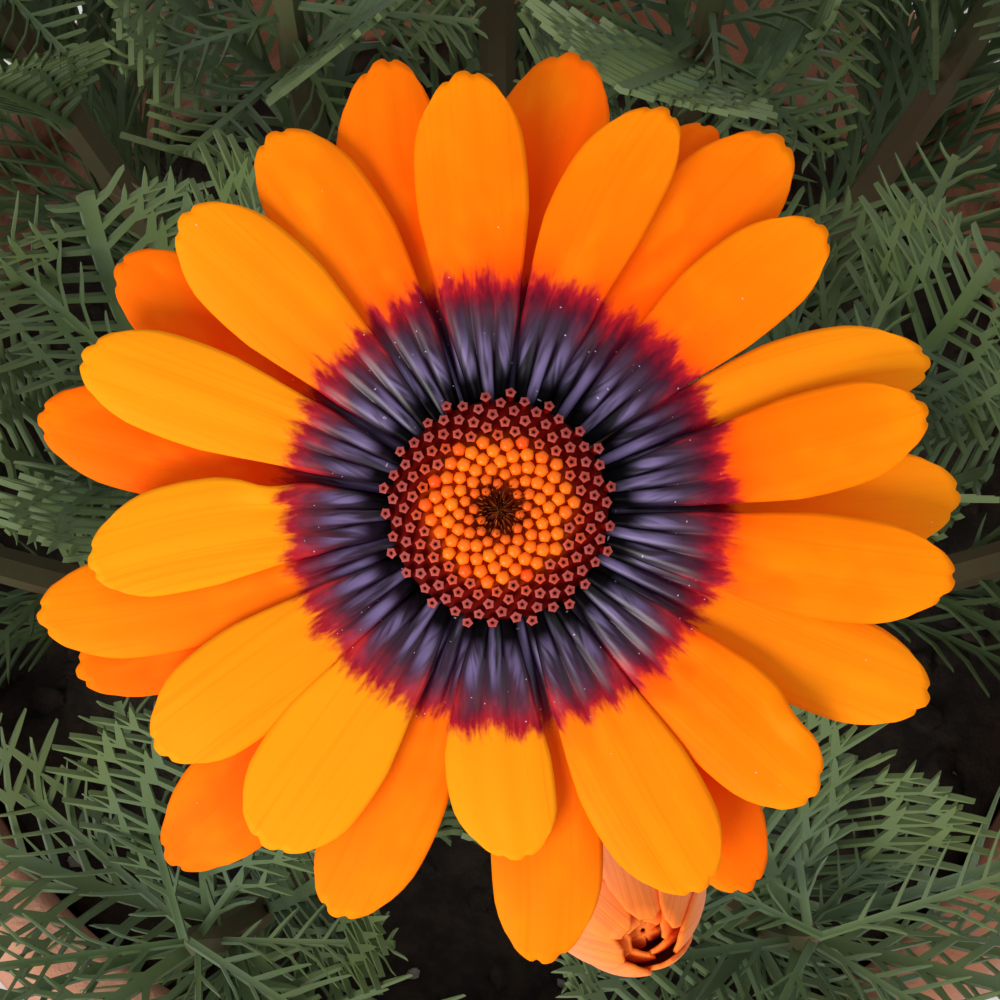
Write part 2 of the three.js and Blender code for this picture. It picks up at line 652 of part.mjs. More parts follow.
// A domed disc of florets: rings of small six-sided peaks, staggered so that they also run in spirals
function discGeometry(radius, { around, rings }) {
  const shrink = 1 - (FLORET_RING_PULL * 2 * Math.PI) / around;
  const points = [];
  const index = [];
  const heightAt = (distance) => DISC_FOOT + DISC_DOME * (1 - DISC_EDGE_DROP * (distance / radius) ** 2);
  const addPoint = (distance, angle, lift) => {
    points.push(distance * Math.cos(angle), distance * Math.sin(angle), heightAt(distance) + lift);
    return points.length / 3 - 1;
  };
  const step = (2 * Math.PI) / around;
  const peak = Array.from({ length: rings }, (_, ring) => {
    const distance = radius * shrink ** ring;
    return Array.from({ length: around }, (_, i) => {
      return addPoint(distance, (i + ring / 2) * step, FLORET_PEAK * distance * step);
    });
  });
  const at = (ring, i) => peak[ring][(i + around) % around];
  // valley[ring][i] lies inward of two neighbouring peaks, crest[ring][i] lies outward of two inner ones
  const valley = [];
  const crest = [];
  for (let ring = 0; ring + 1 < rings; ring++) {
    const distance = radius * shrink ** ring;
    const inner = distance * (1 - (1 - shrink) * FLORET_DIP_PLACE);
    const outer = distance * (1 - (1 - shrink) * (1 - FLORET_DIP_PLACE));
    const dip = -FLORET_DIP * distance * step;
    valley.push(peak[ring].map((_, i) => addPoint(inner, (i + 0.5 + ring / 2) * step, dip)));
    crest.push(peak[ring].map((_, i) => addPoint(outer, (i + 1 + ring / 2) * step, dip)));
  }
  const wrap = (list, i) => list[(i + around) % around];
  for (let ring = 0; ring + 1 < rings; ring++) {
    for (let i = 0; i < around; i++) {
      const hollow = wrap(valley[ring], i);
      const next = wrap(crest[ring], i);
      const before = wrap(crest[ring], i - 1);
      const outside = ring === 0 ? null : wrap(crest[ring - 1], i);
      const [here, beside, inward] = [at(ring, i), at(ring, i + 1), at(ring + 1, i)];
      if (outside === null) index.push(here, beside, hollow);
      else index.push(here, outside, hollow, beside, hollow, outside);
      index.push(beside, next, hollow, inward, hollow, next);
      index.push(here, hollow, before, inward, before, hollow);
    }
  }
  const heart = addPoint(0, 0, -DISC_HEART_DEPTH);
  const low = Array.from({ length: around }, (_, i) => {
    const angle = i * step;
    const distance = radius - DISC_FOOT_INSET;
    return points.push(distance * Math.cos(angle), distance * Math.sin(angle), DISC_FOOT) / 3 - 1;
  });
  const under = points.push(0, 0, DISC_FOOT) / 3 - 1;
  const last = rings - 1;
  for (let i = 0; i < around; i++) {
    const outer = wrap(crest[last - 1], i);
    index.push(at(last, i), outer, heart, at(last, i + 1), heart, outer);
    index.push(at(0, i), wrap(low, i), wrap(low, i + 1), at(0, i), wrap(low, i + 1), at(0, i + 1));
    index.push(under, wrap(low, i + 1), wrap(low, i));
  }
  const geometry = new THREE.BufferGeometry();
  geometry.setAttribute("position", new THREE.Float32BufferAttribute(points, 3));
  return geometry.setIndex(index);
}

const root = new THREE.Group();

function addMesh(name, geometry, colour, roughness) {
  const material = new THREE.MeshStandardMaterial({ color: colour, roughness, metalness: 0 });
  const mesh = new THREE.Mesh(geometry, material);
  mesh.name = name;
  root.add(mesh);
}

addMesh("pot", potGeometry(), POT_COLOUR, 0.85);
addMesh("soil", soilGeometry(), SOIL_COLOUR, 0.95);

STEMS.forEach((stem, number) => {
  const parts = [tubeAlong(new StemCurve(stem, STEM_FOOT, stem.top), STEM_RADIUS, STEM_SIDES, STEM_STEPS)];
  parts.push(...leavesOf(stem, number));
  for (const head of HEADS.filter((one) => one.stem === number)) {
    parts.push(stalkGeometry(stem, head));
    parts.push(involucreGeometry(head.bracts).applyMatrix4(headMatrix(head)));
  }
  addMesh(`leafy_stem_${number + 1}`, geometryOf(fused(parts)), LEAF_COLOUR, 0.6);
});

for (const head of HEADS) {
  const addPiece = (suffix, geometry, colour) => {
    addMesh(`${head.name}_${suffix}`, geometry.applyMatrix4(headMatrix(head)), colour, 0.5);
  };
  if (head.name === "main_bloom") {
    addPiece("rays", raysGeometry(MAIN_RAYS, FINE_RAY), RAY_COLOUR);
    addPiece("disc", discGeometry(DISC_RADIUS, MAIN_DISC), DISC_COLOUR);
  } else if (head.name === "closing_bloom") {
    addPiece("rays", closingGeometry(), RAY_COLOUR);
    addPiece("disc", discGeometry(CLOSING_DISC_RADIUS, CLOSING_DISC), DISC_COLOUR);
  } else if (head.seed) {
    addPiece("rays", raysGeometry(drawnRays(head.seed), PLAIN_RAY), RAY_COLOUR);
    addPiece("disc", discGeometry(DISC_RADIUS, PLAIN_DISC), DISC_COLOUR);
  } else {
    addPiece("petals", budTipGeometry().translate(0, 0, -COLLAR_HALF_HEIGHT), RAY_COLOUR);
  }
}

export default root;
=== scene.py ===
"""The looks of a potted ursinia: petals, florets, feathery leaves, bracts, stalks, clay pot and soil.

Metres, Z up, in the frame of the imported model. The plant's own sizes are in millimetres. Blanks are
modelled at one unit to the millimetre, and MM brings their copies to metres.
"""

import json
import math
import random
from collections import namedtuple
from contextlib import contextmanager

import bmesh
import bpy
import numpy as np
from mathutils import Matrix, Vector

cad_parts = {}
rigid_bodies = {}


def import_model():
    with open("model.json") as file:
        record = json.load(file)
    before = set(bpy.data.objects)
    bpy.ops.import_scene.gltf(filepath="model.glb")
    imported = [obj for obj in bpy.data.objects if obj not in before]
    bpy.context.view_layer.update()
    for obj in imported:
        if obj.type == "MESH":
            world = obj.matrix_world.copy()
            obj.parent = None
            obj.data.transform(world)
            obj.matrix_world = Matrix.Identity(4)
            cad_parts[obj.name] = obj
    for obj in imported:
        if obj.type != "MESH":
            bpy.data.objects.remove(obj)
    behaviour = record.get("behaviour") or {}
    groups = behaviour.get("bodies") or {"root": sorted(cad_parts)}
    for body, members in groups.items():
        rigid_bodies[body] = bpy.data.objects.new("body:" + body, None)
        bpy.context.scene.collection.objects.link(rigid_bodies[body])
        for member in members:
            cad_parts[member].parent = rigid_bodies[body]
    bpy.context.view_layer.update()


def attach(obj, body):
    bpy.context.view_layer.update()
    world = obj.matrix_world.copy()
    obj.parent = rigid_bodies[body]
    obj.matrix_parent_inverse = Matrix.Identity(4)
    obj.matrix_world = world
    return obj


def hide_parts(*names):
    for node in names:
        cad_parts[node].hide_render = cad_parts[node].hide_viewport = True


MM = 0.001
GOLDEN_ANGLE = math.radians(137.508)

# Pot
POT_HEIGHT = 92
POT_FOOT_RADIUS = 36.5
POT_BODY_TOP_RADIUS = 47.5
RIM_HEIGHT = 20
RIM_LOW_RADIUS = 51.4
RIM_TOP_RADIUS = 52.6
POT_MOUTH_RADIUS = 46.4
POT_FLOOR = 6.5
POT_FLOOR_RADIUS = 31.5
DRAIN_HOLES = 3
DRAIN_HOLE_RADIUS = 4
DRAIN_HOLE_PITCH_RADIUS = 17

# Soil, and the crumbs strewn over it: their number, their least and greatest size, and a seed
SOIL_TOP = 80
SOIL_BUMP = 1.1
SOIL_SIDE_GAP = 0.5
SOIL_FOOT_GAP = 0.3
CRUMBS = (420, (0.5, 1.7), 4)
GRIT = (46, (0.4, 0.9), 9)

# Stems: they rise close together, spread like a vase and end upright
STEM_FOOT = 70
FLARE_TOP = 142
FLARE_START = 0.3
STEM_RADIUS = 1.5
STALK_RADIUS = 1
INNER_STEMS = {"count": 5, "ring": 26, "turn": -90, "top": 136, "lowest_leaf": 98, "leaves": 5}
OUTER_STEMS = {"count": 7, "ring": 53, "turn": -64, "top": 127, "lowest_leaf": 97, "leaves": 6}
Stem = namedtuple("Stem", "place angle top lowest_leaf leaves")

# Leaves
LEAF_LENGTH = 39
LEAF_REACH_MOST = 33
LEAF_HALF_WIDTH = 10.5
LEAF_THICKNESS = 0.45
LEAF_STEPS = 40
RIB_HALF_WIDTH = 0.65
LOBE_LIFT = 0.22
LOBE_ANGLE = math.radians(52)
SIDE_LOBE_ANGLE = math.radians(34)
CELL_CLEARANCE = 1.1

# How each lobe is drawn out: shares of its length, and how much narrower each ends
LOBE_STEPS = ((0.34, 0.8), (0.11, 0.95), (0.26, 0.75), (0.11, 0.9), (0.2, 0.12))

# Young leaves low on the stems, by height and, on the outer stems, angle from the stem's own
OUTER_YOUNG_HEIGHTS = np.linspace(86, 112, 8)
OUTER_YOUNG_SWINGS = (0.25, -0.45, 0.95, -1.15, 0.0, 0.7, -0.8, 1.5)
INNER_YOUNG_HEIGHTS = np.linspace(84, 100, 5)
SKIRT_HEIGHTS = (83.5, 86, 88.5)
SKIRT_SWINGS = (-0.42, 0.42, 0.02)
TUFT_LEAVES = 7

# Outer stems with room beside them, and the side on which they bear more leaves, each given by its
# height, its angle from the stem's own and its length
SPREADING_STEMS = {7: 1, 9: -1}
SIDE_LEAVES = ((87, 0.73, 35), (91, 0.6, 36), (95, 0.84, 34), (99, 0.68, 32), (104, 0.45, 30))

# Flower heads, each in a frame of its own with Z along its axis
RAY_BASE_RADIUS = 5.4
RAY_FULL_RADIUS = 26
RAY_ARCH = 0.45
RIDGE_HEIGHT = 0.15
CREASE_HEIGHT = 0.035
PETAL_THICKNESS = 0.26
COLLAR_RADIUS = 6.4
COLLAR_HALF_HEIGHT = 0.8
DISC_RADIUS = 6.5
DISC_FOOT = 1.25
DISC_DOME = 1.5
DISC_SPREAD = 1.025
DISC_HEART = 1.15
BUD_ZONE = 0.63
FLORETS = 232
BRISTLES = 90
BRISTLE_ZONE = 1.7
INVOLUCRE_RADIUS = 6.2
INVOLUCRE_DEPTH = 9

# Outlines of petals and bracts: how far along, and half the width there as a share of the full width
PETAL_OUTLINE = [
    (0, 0.1), (0.08, 0.165), (0.15, 0.222), (0.28, 0.317), (0.37, 0.362), (0.48, 0.432), (0.59, 0.49),
    (0.68, 0.5), (0.76, 0.492), (0.83, 0.475), (0.89, 0.438), (0.94, 0.388), (0.975, 0.325), (1, 0.285),
]
CLOSING_OUTLINE = [(0, 0.2), (0.2, 0.38), (0.42, 0.5), (0.65, 0.48), (0.85, 0.38), (0.95, 0.25), (1, 0.1)]
BRACT_OUTLINE = [(0, 0.42), (0.3, 0.48), (0.6, 0.5), (0.8, 0.44), (0.92, 0.3), (1, 0.12)]

# The rays of the main bloom: layer (0 in front, 2 at the back), angle at the base and at the tip in
# degrees from the right, tip radius and full width
MAIN_RAYS = [
    (0, 95, 94.5, 24.9, 6.3),
    (2, 84, 80.8, 26.4, 6.6),
    (0, 74, 67.5, 24.6, 5.6),
    (2, 62, 61, 25, 5.8),
    (1, 56.5, 52.8, 26.6, 6.4),
    (0, 43.6, 41, 24.4, 5.6),
    (1, 25.3, 19.3, 25.9, 5.4),
    (0, 11.2, 13, 24.9, 5.8),
    (2, 359.5, 361.8, 26.3, 6.2),
    (0, 349.5, 351.2, 26.1, 5.9),
    (1, 334.5, 336, 26.7, 6),
    (0, 318.5, 317.8, 24.1, 6.3),
    (2, 306.5, 303.5, 26, 5.8),
    (0, 296, 298, 24.4, 6.6),
    (1, 280, 275.8, 25.9, 6.3),
    (0, 268, 273, 19.8, 6),
    (1, 251, 248, 24.9, 6),
    (0, 235, 235, 23.2, 6.9),
    (2, 228, 227, 27.6, 6.3),
    (0.2, 213.5, 215, 23.7, 6.1),
    (2, 202, 201.4, 25.8, 5.4),
    (1, 196.5, 193.2, 26.9, 5.9),
    (0, 182.5, 187.4, 23.4, 6.1),
    (2, 169.5, 168.5, 26.8, 5.9),
    (0, 159, 159.6, 25.2, 5.7),
    (2, 147.8, 147.2, 25.9, 5.8),
    (0, 136, 136.8, 24.5, 6.2),
    (0.6, 119, 121.2, 25, 6),
    (1.4, 110.5, 104.6, 26.5, 6.1),
]
# Curled edges of the main bloom's petals: by ray number, the hand, the place along it and the depth
CURLS = {11: (1, 0.8, 0.9), 22: (-1, 0.42, 0.6)}
# Petals of the main bloom painted paler than their neighbours, as painted light where they face the light,
# and with less painted shade
PAINTED_LIGHT_RAYS = {6: 0.9, 8: 1.0, 10: 0.7}
# The side of a bloom where its petals are painted paler, as painted light falling from that side, and where
# its dark band is widest
PAINTED_LIGHT_SIDE = math.radians(215)
WIDE_SIDE = math.radians(40)

# The two plainer blooms: rays in each of their rounds, and the seeds of the front and the back round
PLAIN_RAYS = 13
PLAIN_SEEDS = {"bloom_2": (5, 2), "bloom_3": (9, 3)}

# The closing bloom's petals bend along a curve of (radius, height) points. Its rounds, from outside
# inward: number of petals, how far further out they stand and their turn in radians
CLOSING_CURVE = [(5.9, 0.2), (9.4, 4.5), (8.6, 13), (2.7, 20)]
CLOSING_WIDTH = 6.6
CLOSING_LEAST_BEND = 4
CLOSING_OVERLAP = 0.7
CLOSING_ROUNDS = [(7, 0, 0), (6, -1.1, 0.4), (5, -2.4, 0.28)]
CLOSING_DISC_RADIUS = 4.4
CLOSING_FLORETS = 90

# The rolled petals of a bud: the tip's profile of (radius, height), and the grooves round it
BUD_PROFILE = [
    (3.6, -0.6), (3.9, 0), (4.15, 1), (4.1, 2), (3.75, 3.2), (3.1, 4.4), (2.35, 5.5), (1.4, 6.6), (0.5, 7.3)
]
BUD_BLADES = 7

# The cup under a head: shares of its depth, and its radius there as a share of the full one
CUP_HEIGHTS = (-1, -0.82, -0.62, -0.42, -0.16, 0)
CUP_RADII = (0.3, 0.66, 0.78, 0.94, 1, 0.98)
# Rounds of bracts from the foot of the cup upward: foot, length and width, for a round of 11
BRACT_ROUNDS = ((-8.9, 2.6, 2.6), (-8.1, 3.3, 3.1), (-6.6, 3.7, 3.5), (-4.9, 3.9, 3.7))
BUD_ROUND = (-3.0, 3.6, 3.7)
FULL_ROUND = 11
BRACT_THICKNESS = 0.18

# What each flowering stem carries: the stem's number, where the head's collar is, how far and which way
# it leans, its size, and the number of bracts in a round
Head = namedtuple("Head", "stem place lean toward size bracts")
HEADS = {
    "main_bloom": Head(0, (0, -50, 226), 20, -90, 1, 11),
    "bloom_2": Head(9, (-60, 19, 197), 36, 165, 1, 11),
    "bloom_3": Head(2, (36, 37, 208), 24, 42, 1, 11),
    "closing_bloom": Head(0, (6.1, -55.2, 180), 48, -72, 0.67, 10),
    "bud_1": Head(8, (-3, 61, 178), 18, 100, 0.66, 8),
    "bud_2": Head(6, (60, -24, 171), 30, -20, 0.66, 8),
    "bud_3": Head(3, (-24, 32, 193), 12, 130, 0.66, 8),
}

# The camera looks along the main bloom's axis. The picture is as wide as FRAME_WIDTH at the bloom, and
# the bloom's middle lies at BLOOM_PIXEL in a picture of PICTURE_SIDE pixels.
CAMERA_DISTANCE = 400
FRAME_WIDTH = 56.5
PICTURE_SIDE = 1000
BLOOM_PIXEL = (499, 510)
SENSOR_WIDTH = 36
LIT_MIDDLE = Vector((0, 0, 0.17))

# Colours from place to place. On petals the place is a share of the full radius.
# The darkest stops, nearest the disc, are partly the band's own dark violet and partly painted shade in the
# gaps between petal bases
BAND_TONES = [
    (0.285, (0.0020, 0.0010, 0.0018)),
    (0.320, (0.012, 0.005, 0.012)),
    (0.360, (0.024, 0.008, 0.024)),
    (0.400, (0.036, 0.006, 0.020)),
    (0.430, (0.085, 0.005, 0.017)),
    (0.455, (0.190, 0.006, 0.017)),
    (0.480, (0.400, 0.009, 0.018)),
    (0.500, (0.530, 0.014, 0.014)),
]
ORANGE_TONES = [
    (0.47, (1.0, 0.055, 0.0)),
    (0.52, (1.0, 0.088, 0.0)),
    (0.57, (1.0, 0.140, 0.0)),
    (0.66, (1.0, 0.174, 0.0)),
    (0.82, (1.0, 0.200, 0.0005)),
    (0.97, (1.0, 0.235, 0.001)),
]
SALMON_TONES = [
    (0.25, (0.30, 0.05, 0.035)),
    (0.38, (0.74, 0.23, 0.15)),
    (0.62, (0.93, 0.31, 0.18)),
    (0.82, (1.0, 0.27, 0.08)),
    (0.95, (1.0, 0.23, 0.025)),
]
DISC_BED_TONES = [
    (0.06, (0.004, 0.001, 0.001)),
    (0.22, (0.25, 0.022, 0.001)),
    (0.42, (0.72, 0.085, 0.001)),
    (0.60, (0.55, 0.045, 0.001)),
    (0.72, (0.190, 0.003, 0.001)),
    (0.90, (0.120, 0.002, 0.001)),
    (1.0, (0.010, 0.001, 0.001)),
]
BRACT_TONES = [
    (0.0, (0.055, 0.090, 0.028)),
    (0.62, (0.085, 0.125, 0.040)),
    (0.78, (0.085, 0.040, 0.018)),
    (0.86, (0.130, 0.050, 0.022)),
    (0.93, (0.260, 0.190, 0.115)),
    (1.0, (0.370, 0.300, 0.200)),
]


def lerp(start, end, share):
    return start + (end - start) * share


def smooth(low, high, value):
    """Zero below low, one above high, and a soft step between."""
    share = np.clip((value - low) / (high - low), 0, 1)
    return share * share * (3 - 2 * share)


def seeded_draws(seed):
    """The part's own stream of draws between 0 and 1."""
    state = seed * 7919 + 1
    while True:
        state = state * 16807 % 2147483647
        yield state / 2147483647


# Handling of objects

def take(*objects):
    """Selects these objects alone, the first of them active."""
    for other in bpy.context.scene.objects:
        other.select_set(False)
    for one in objects:
        one.select_set(True)
    bpy.context.view_layer.objects.active = objects[0]
    return objects[0]


@contextmanager
def editing(piece):
    take(piece)
    bpy.ops.object.mode_set(mode="EDIT")
    yield
    bpy.ops.object.mode_set(mode="OBJECT")


BLANK_SHAPES = {
    "circle": bpy.ops.mesh.primitive_circle_add,
    "cone": bpy.ops.mesh.primitive_cone_add,
    "cylinder": bpy.ops.mesh.primitive_cylinder_add,
    "grid": bpy.ops.mesh.primitive_grid_add,
    "plane": bpy.ops.mesh.primitive_plane_add,
    "sphere": bpy.ops.mesh.primitive_ico_sphere_add,
}


def new_blank(name, shape, place=(0, 0, 0), **sizes):
    """A simple shape at its size, with its place applied."""
    BLANK_SHAPES[shape](location=place, **sizes)
    blank = bpy.context.active_object
    blank.name = name
    bpy.ops.object.transform_apply(location=True, rotation=False, scale=False)
    return blank


def pick(piece, kind, test):
    """In edit mode, selects the vertices, edges or faces that pass the test and nothing else."""
    kinds = ("verts", "edges", "faces")
    bpy.context.tool_settings.mesh_select_mode = tuple(kind == one for one in kinds)
    bpy.ops.mesh.select_all(action="DESELECT")
    shape = bmesh.from_edit_mesh(piece.data)
    for element in getattr(shape, kind):
        if test(element):
            element.select_set(True)
    bmesh.update_edit_mesh(piece.data)


def pick_nearest_edge(piece, place):
    """In edit mode, selects the one edge whose middle lies nearest to a place."""
    pick(piece, "edges", lambda e: False)
    shape = bmesh.from_edit_mesh(piece.data)
    nearest = min(shape.edges, key=lambda e: (e.verts[0].co + e.verts[1].co - 2 * place).length_squared)
    nearest.select_set(True)
    bmesh.update_edit_mesh(piece.data)


def extrude(move):
    bpy.ops.mesh.extrude_region_move(TRANSFORM_OT_translate={"value": tuple(move)})


def resize(value, centre=(0, 0, 0)):
    bpy.ops.transform.resize(value=value, center_override=tuple(centre))


def draw_up(rise, ratio):
    """Draws the selected rim upward and makes it wider or narrower about the Z axis."""
    extrude((0, 0, rise))
    resize((ratio, ratio, 1))


def turned(name, profile, segments):
    """A closed round shape made from its profile of (radius, height): a disc whose rim is drawn out."""
    radius, height = profile[0]
    sizes = {"vertices": segments, "radius": radius, "fill_type": "TRIFAN"}
    shape = new_blank(name, "circle", (0, 0, height), **sizes)
    with editing(shape):
        pick(shape, "edges", lambda e: e.is_boundary)
        for (before, low), (after, high) in zip(profile, profile[1:]):
            draw_up(high - low, after / before)
        bpy.ops.mesh.edge_face_add()
        bpy.ops.mesh.poke()
        bpy.ops.mesh.select_all(action="SELECT")
        bpy.ops.mesh.normals_make_consistent(inside=False)
    return shape


def apply_modifier(piece, kind, **settings):
    take(piece)
    modifier = piece.modifiers.new(kind.lower(), kind)
    for name, value in settings.items():
        setattr(modifier, name, value)
    bpy.ops.object.modifier_apply(modifier=modifier.name)


def points_of(mesh):
    points = np.empty(len(mesh.vertices) * 3)
    mesh.vertices.foreach_get("co", points)
    return points.reshape(-1, 3)


def set_points(mesh, points):
    mesh.vertices.foreach_set("co", np.asarray(points, float).ravel())
    mesh.update()


def give_trait(mesh, name, values):
    """Writes one number for each point, which the materials read by this name."""
    attribute = mesh.attributes.get(name) or mesh.attributes.new(name, "FLOAT", "POINT")
    filled = np.broadcast_to(values, len(mesh.vertices)).astype(np.float32)
    attribute.data.foreach_set("value", np.ascontiguousarray(filled))


def copy_of(blank, move, **traits):
    """A copy of a blank with a mesh of its own. Move takes its points in mm and gives their places in mm."""
    mesh = blank.data.copy()
    set_points(mesh, move(points_of(mesh)) * MM)
    for name, values in traits.items():
        give_trait(mesh, name, values)
    copy = bpy.data.objects.new(blank.name, mesh)
    bpy.context.scene.collection.objects.link(copy)
    return copy


def joined(name, parts):
    piece = take(*parts)
    if len(parts) > 1:
        bpy.ops.object.join()
    piece.name = name
    piece.data.name = name
    return piece


def finish_piece(piece, materials, replaced=None, angle=None):
    """Smooths a finished piece, gives it its materials and puts it on the part's one body."""
    take(piece)
    if angle is None:
        bpy.ops.object.shade_smooth()
    else:
        bpy.ops.object.shade_smooth_by_angle(angle=math.radians(angle))
    faces = [0] * len(piece.data.polygons)
    piece.data.polygons.foreach_get("material_index", faces)
    piece.data.materials.clear()
    for material in materials:
        piece.data.materials.append(material)
    piece.data.polygons.foreach_set("material_index", faces)
    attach(piece, "root")
    if replaced:
        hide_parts(replaced)
    return piece


def drop(*blanks):
    for blank in blanks:
        bpy.data.objects.remove(blank)


# Materials

class Nodes:
    """Adds nodes to a tree. What feeds them may be a number, a colour or another node's output."""

    def __init__(self, tree):
        self.tree = tree
        self.traits = {}

    def feed(self, socket, value):
        if isinstance(value, bpy.types.NodeSocket):
            self.tree.links.new(value, socket)
        else:
            socket.default_value = (*value, 1) if isinstance(value, tuple) else value

    def node(self, kind, inputs=None, **settings):
        node = self.tree.nodes.new("ShaderNode" + kind)
        for name, value in settings.items():
            setattr(node, name, value)
        for key, value in (inputs or {}).items():
            self.feed(node.inputs[key], value)
        return node

    def maths(self, operation, *values):
        return self.node("Math", dict(enumerate(values)), operation=operation).outputs[0]

    def times(self, product, *factors):
        for factor in factors:
            product = self.maths("MULTIPLY", product, factor)
        return product

    def rest(self, share):
        return self.maths("SUBTRACT", 1.0, share)

    def swing(self, noise, reach):
        """A noise that is a half on average, as a swing about zero."""
        return self.times(self.maths("SUBTRACT", noise, 0.5), reach)

    def step(self, value, low, high):
        """Zero below low, one above high, and a soft step between."""
        inputs = {"Value": value, "From Min": low, "From Max": high}
        return self.node("MapRange", inputs, interpolation_type="SMOOTHSTEP").outputs["Result"]

    def span(self, share, start, end):
        return self.node("MapRange", {"Value": share, "To Min": start, "To Max": end}).outputs["Result"]

    def mix(self, share, first, second):
        return self.node("Mix", {0: share, 6: first, 7: second}, data_type="RGBA").outputs[2]

    def tint(self, base, colour, share, amount=1.0):
        return self.mix(self.times(share, amount), base, colour)

    def ramp(self, value, stops):
        node = self.node("ValToRGB", {"Fac": value})
        elements = node.color_ramp.elements
        while len(elements) < len(stops):
            elements.new(0.5)
        for element, (place, colour) in zip(elements, stops):
            element.position = place
            element.color = (*colour, 1)
        return node.outputs["Color"]

    def trait(self, name):
        """The number that each point of the mesh bears by this name."""
        if name not in self.traits:
            self.traits[name] = self.node("Attribute", attribute_name=name).outputs["Fac"]
        return self.traits[name]

    def object_place(self):
        return self.node("TexCoord").outputs["Object"]

    def noise(self, place, scale, detail, roughness):
        inputs = {"Vector": place, "Scale": scale, "Detail": detail, "Roughness": roughness}
        return self.node("TexNoise", inputs).outputs["Fac"]

    def seeded_place(self, across, along, seed):
        """A place on a petal, with every petal far from the others."""
        return self.node("CombineXYZ", {0: across, 1: along, 2: self.times(seed, 57.0)}).outputs[0]

    def group(self, group, **inputs):
        """A shared effect's output. Its inputs are named with underscores for spaces."""
        named = {key.replace("_", " "): value for key, value in inputs.items()}
        return self.node("Group", named, node_tree=group).outputs[0]

    def mottled(self, mottle, colour, patch, scale, amount=1.0):
        return self.group(mottle, Colour=colour, Patch_colour=patch, Scale=scale, Amount=amount)

    def petal_streaks(self, streaks, per_mm, stretch):
        """Streaks along each petal, by the numbers its points bear."""
        inputs = {"Across": "across_mm", "Along": "from_axis_mm", "Seed": "petal_seed"}
        place = {key: self.trait(name) for key, name in inputs.items()}
        return self.group(streaks, **place, Per_mm=per_mm, Stretch=stretch)


class Finish(Nodes):
    """A material's nodes, with its shader's constants, such as Roughness or Specular_IOR_Level."""

    def __init__(self, name, **constants):
        self.material = bpy.data.materials.new(name)
        self.material.use_nodes = True
        super().__init__(self.material.node_tree)
        self.shader = self.tree.nodes["Principled BSDF"]
        self.give(**constants)

    def give(self, **inputs):
        for key, value in inputs.items():
            self.feed(self.shader.inputs[key.replace("_", " ")], value)

    def bump(self, height, strength, distance):
        inputs = {"Height": height, "Strength": strength, "Distance": distance}
        self.give(Normal=self.node("Bump", inputs).outputs["Normal"])
        return self.material


def new_group(name, inputs, output):
    """An empty node group. A socket named for a colour holds a colour, and any other a number."""
    nodes = Nodes(bpy.data.node_groups.new(name, "ShaderNodeTree"))
    directions = [(socket, "INPUT") for socket in inputs] + [(output, "OUTPUT")]
    for socket, direction in directions:
        kind = "NodeSocketColor" if "olour" in socket else "NodeSocketFloat"
        nodes.tree.interface.new_socket(name=socket, in_out=direction, socket_type=kind)
    taken = nodes.tree.nodes.new("NodeGroupInput").outputs
    given = nodes.tree.nodes.new("NodeGroupOutput").inputs[output]
    return nodes, taken, given


def streaks_group():
    """Fine lengthwise streaks, as in a petal or a bract: across and along are in mm."""
    sockets = ("Across", "Along", "Seed", "Per mm", "Stretch")
    nodes, taken, given = new_group("lengthwise streaks", sockets, "Value")
    across = nodes.times(taken["Across"], taken["Per mm"])
    along = nodes.maths("DIVIDE", taken["Along"], taken["Stretch"])
    nodes.feed(given, nodes.noise(nodes.seeded_place(across, along, taken["Seed"]), 1.0, 2.0, 0.6))
    return nodes.tree


def specks_group():
    """Pale specks painted as glints: the nearer Rarity is to one, the fewer there are."""
    # A node group of pale specks painted as glints
    nodes, taken, given = new_group("specks of dust", ("Across", "Along", "Seed", "Rarity"), "Value")
    place = nodes.seeded_place(taken["Across"], taken["Along"], taken["Seed"])
    cells = nodes.node("TexVoronoi", {"Vector": place, "Scale": 2.3}).outputs
    near = nodes.rest(nodes.step(cells["Distance"], 0.06, 0.13))
    drawn = nodes.node("SeparateColor", {"Color": cells["Color"]}).outputs["Red"]
    nodes.feed(given, nodes.times(near, nodes.maths("GREATER_THAN", drawn, taken["Rarity"])))
    return nodes.tree


def mottle_group():
    """Patches of a second colour over a first, at so many to the metre."""
    sockets = ("Colour", "Patch colour", "Scale", "Amount")
    nodes, taken, given = new_group("mottled colour", sockets, "Mixed colour")
    patches = nodes.step(nodes.noise(nodes.object_place(), taken["Scale"], 4.0, 0.6), 0.38, 0.66)
    nodes.feed(given, nodes.tint(taken["Colour"], taken["Patch colour"], patches, taken["Amount"]))
    return nodes.tree


def grain_group():
    """Fine grain for bumps, at so many grains to the metre."""
    nodes, taken, given = new_group("fine grain", ("Scale",), "Height")
    nodes.feed(given, nodes.noise(nodes.object_place(), taken["Scale"], 5.0, 0.7))
    return nodes.tree


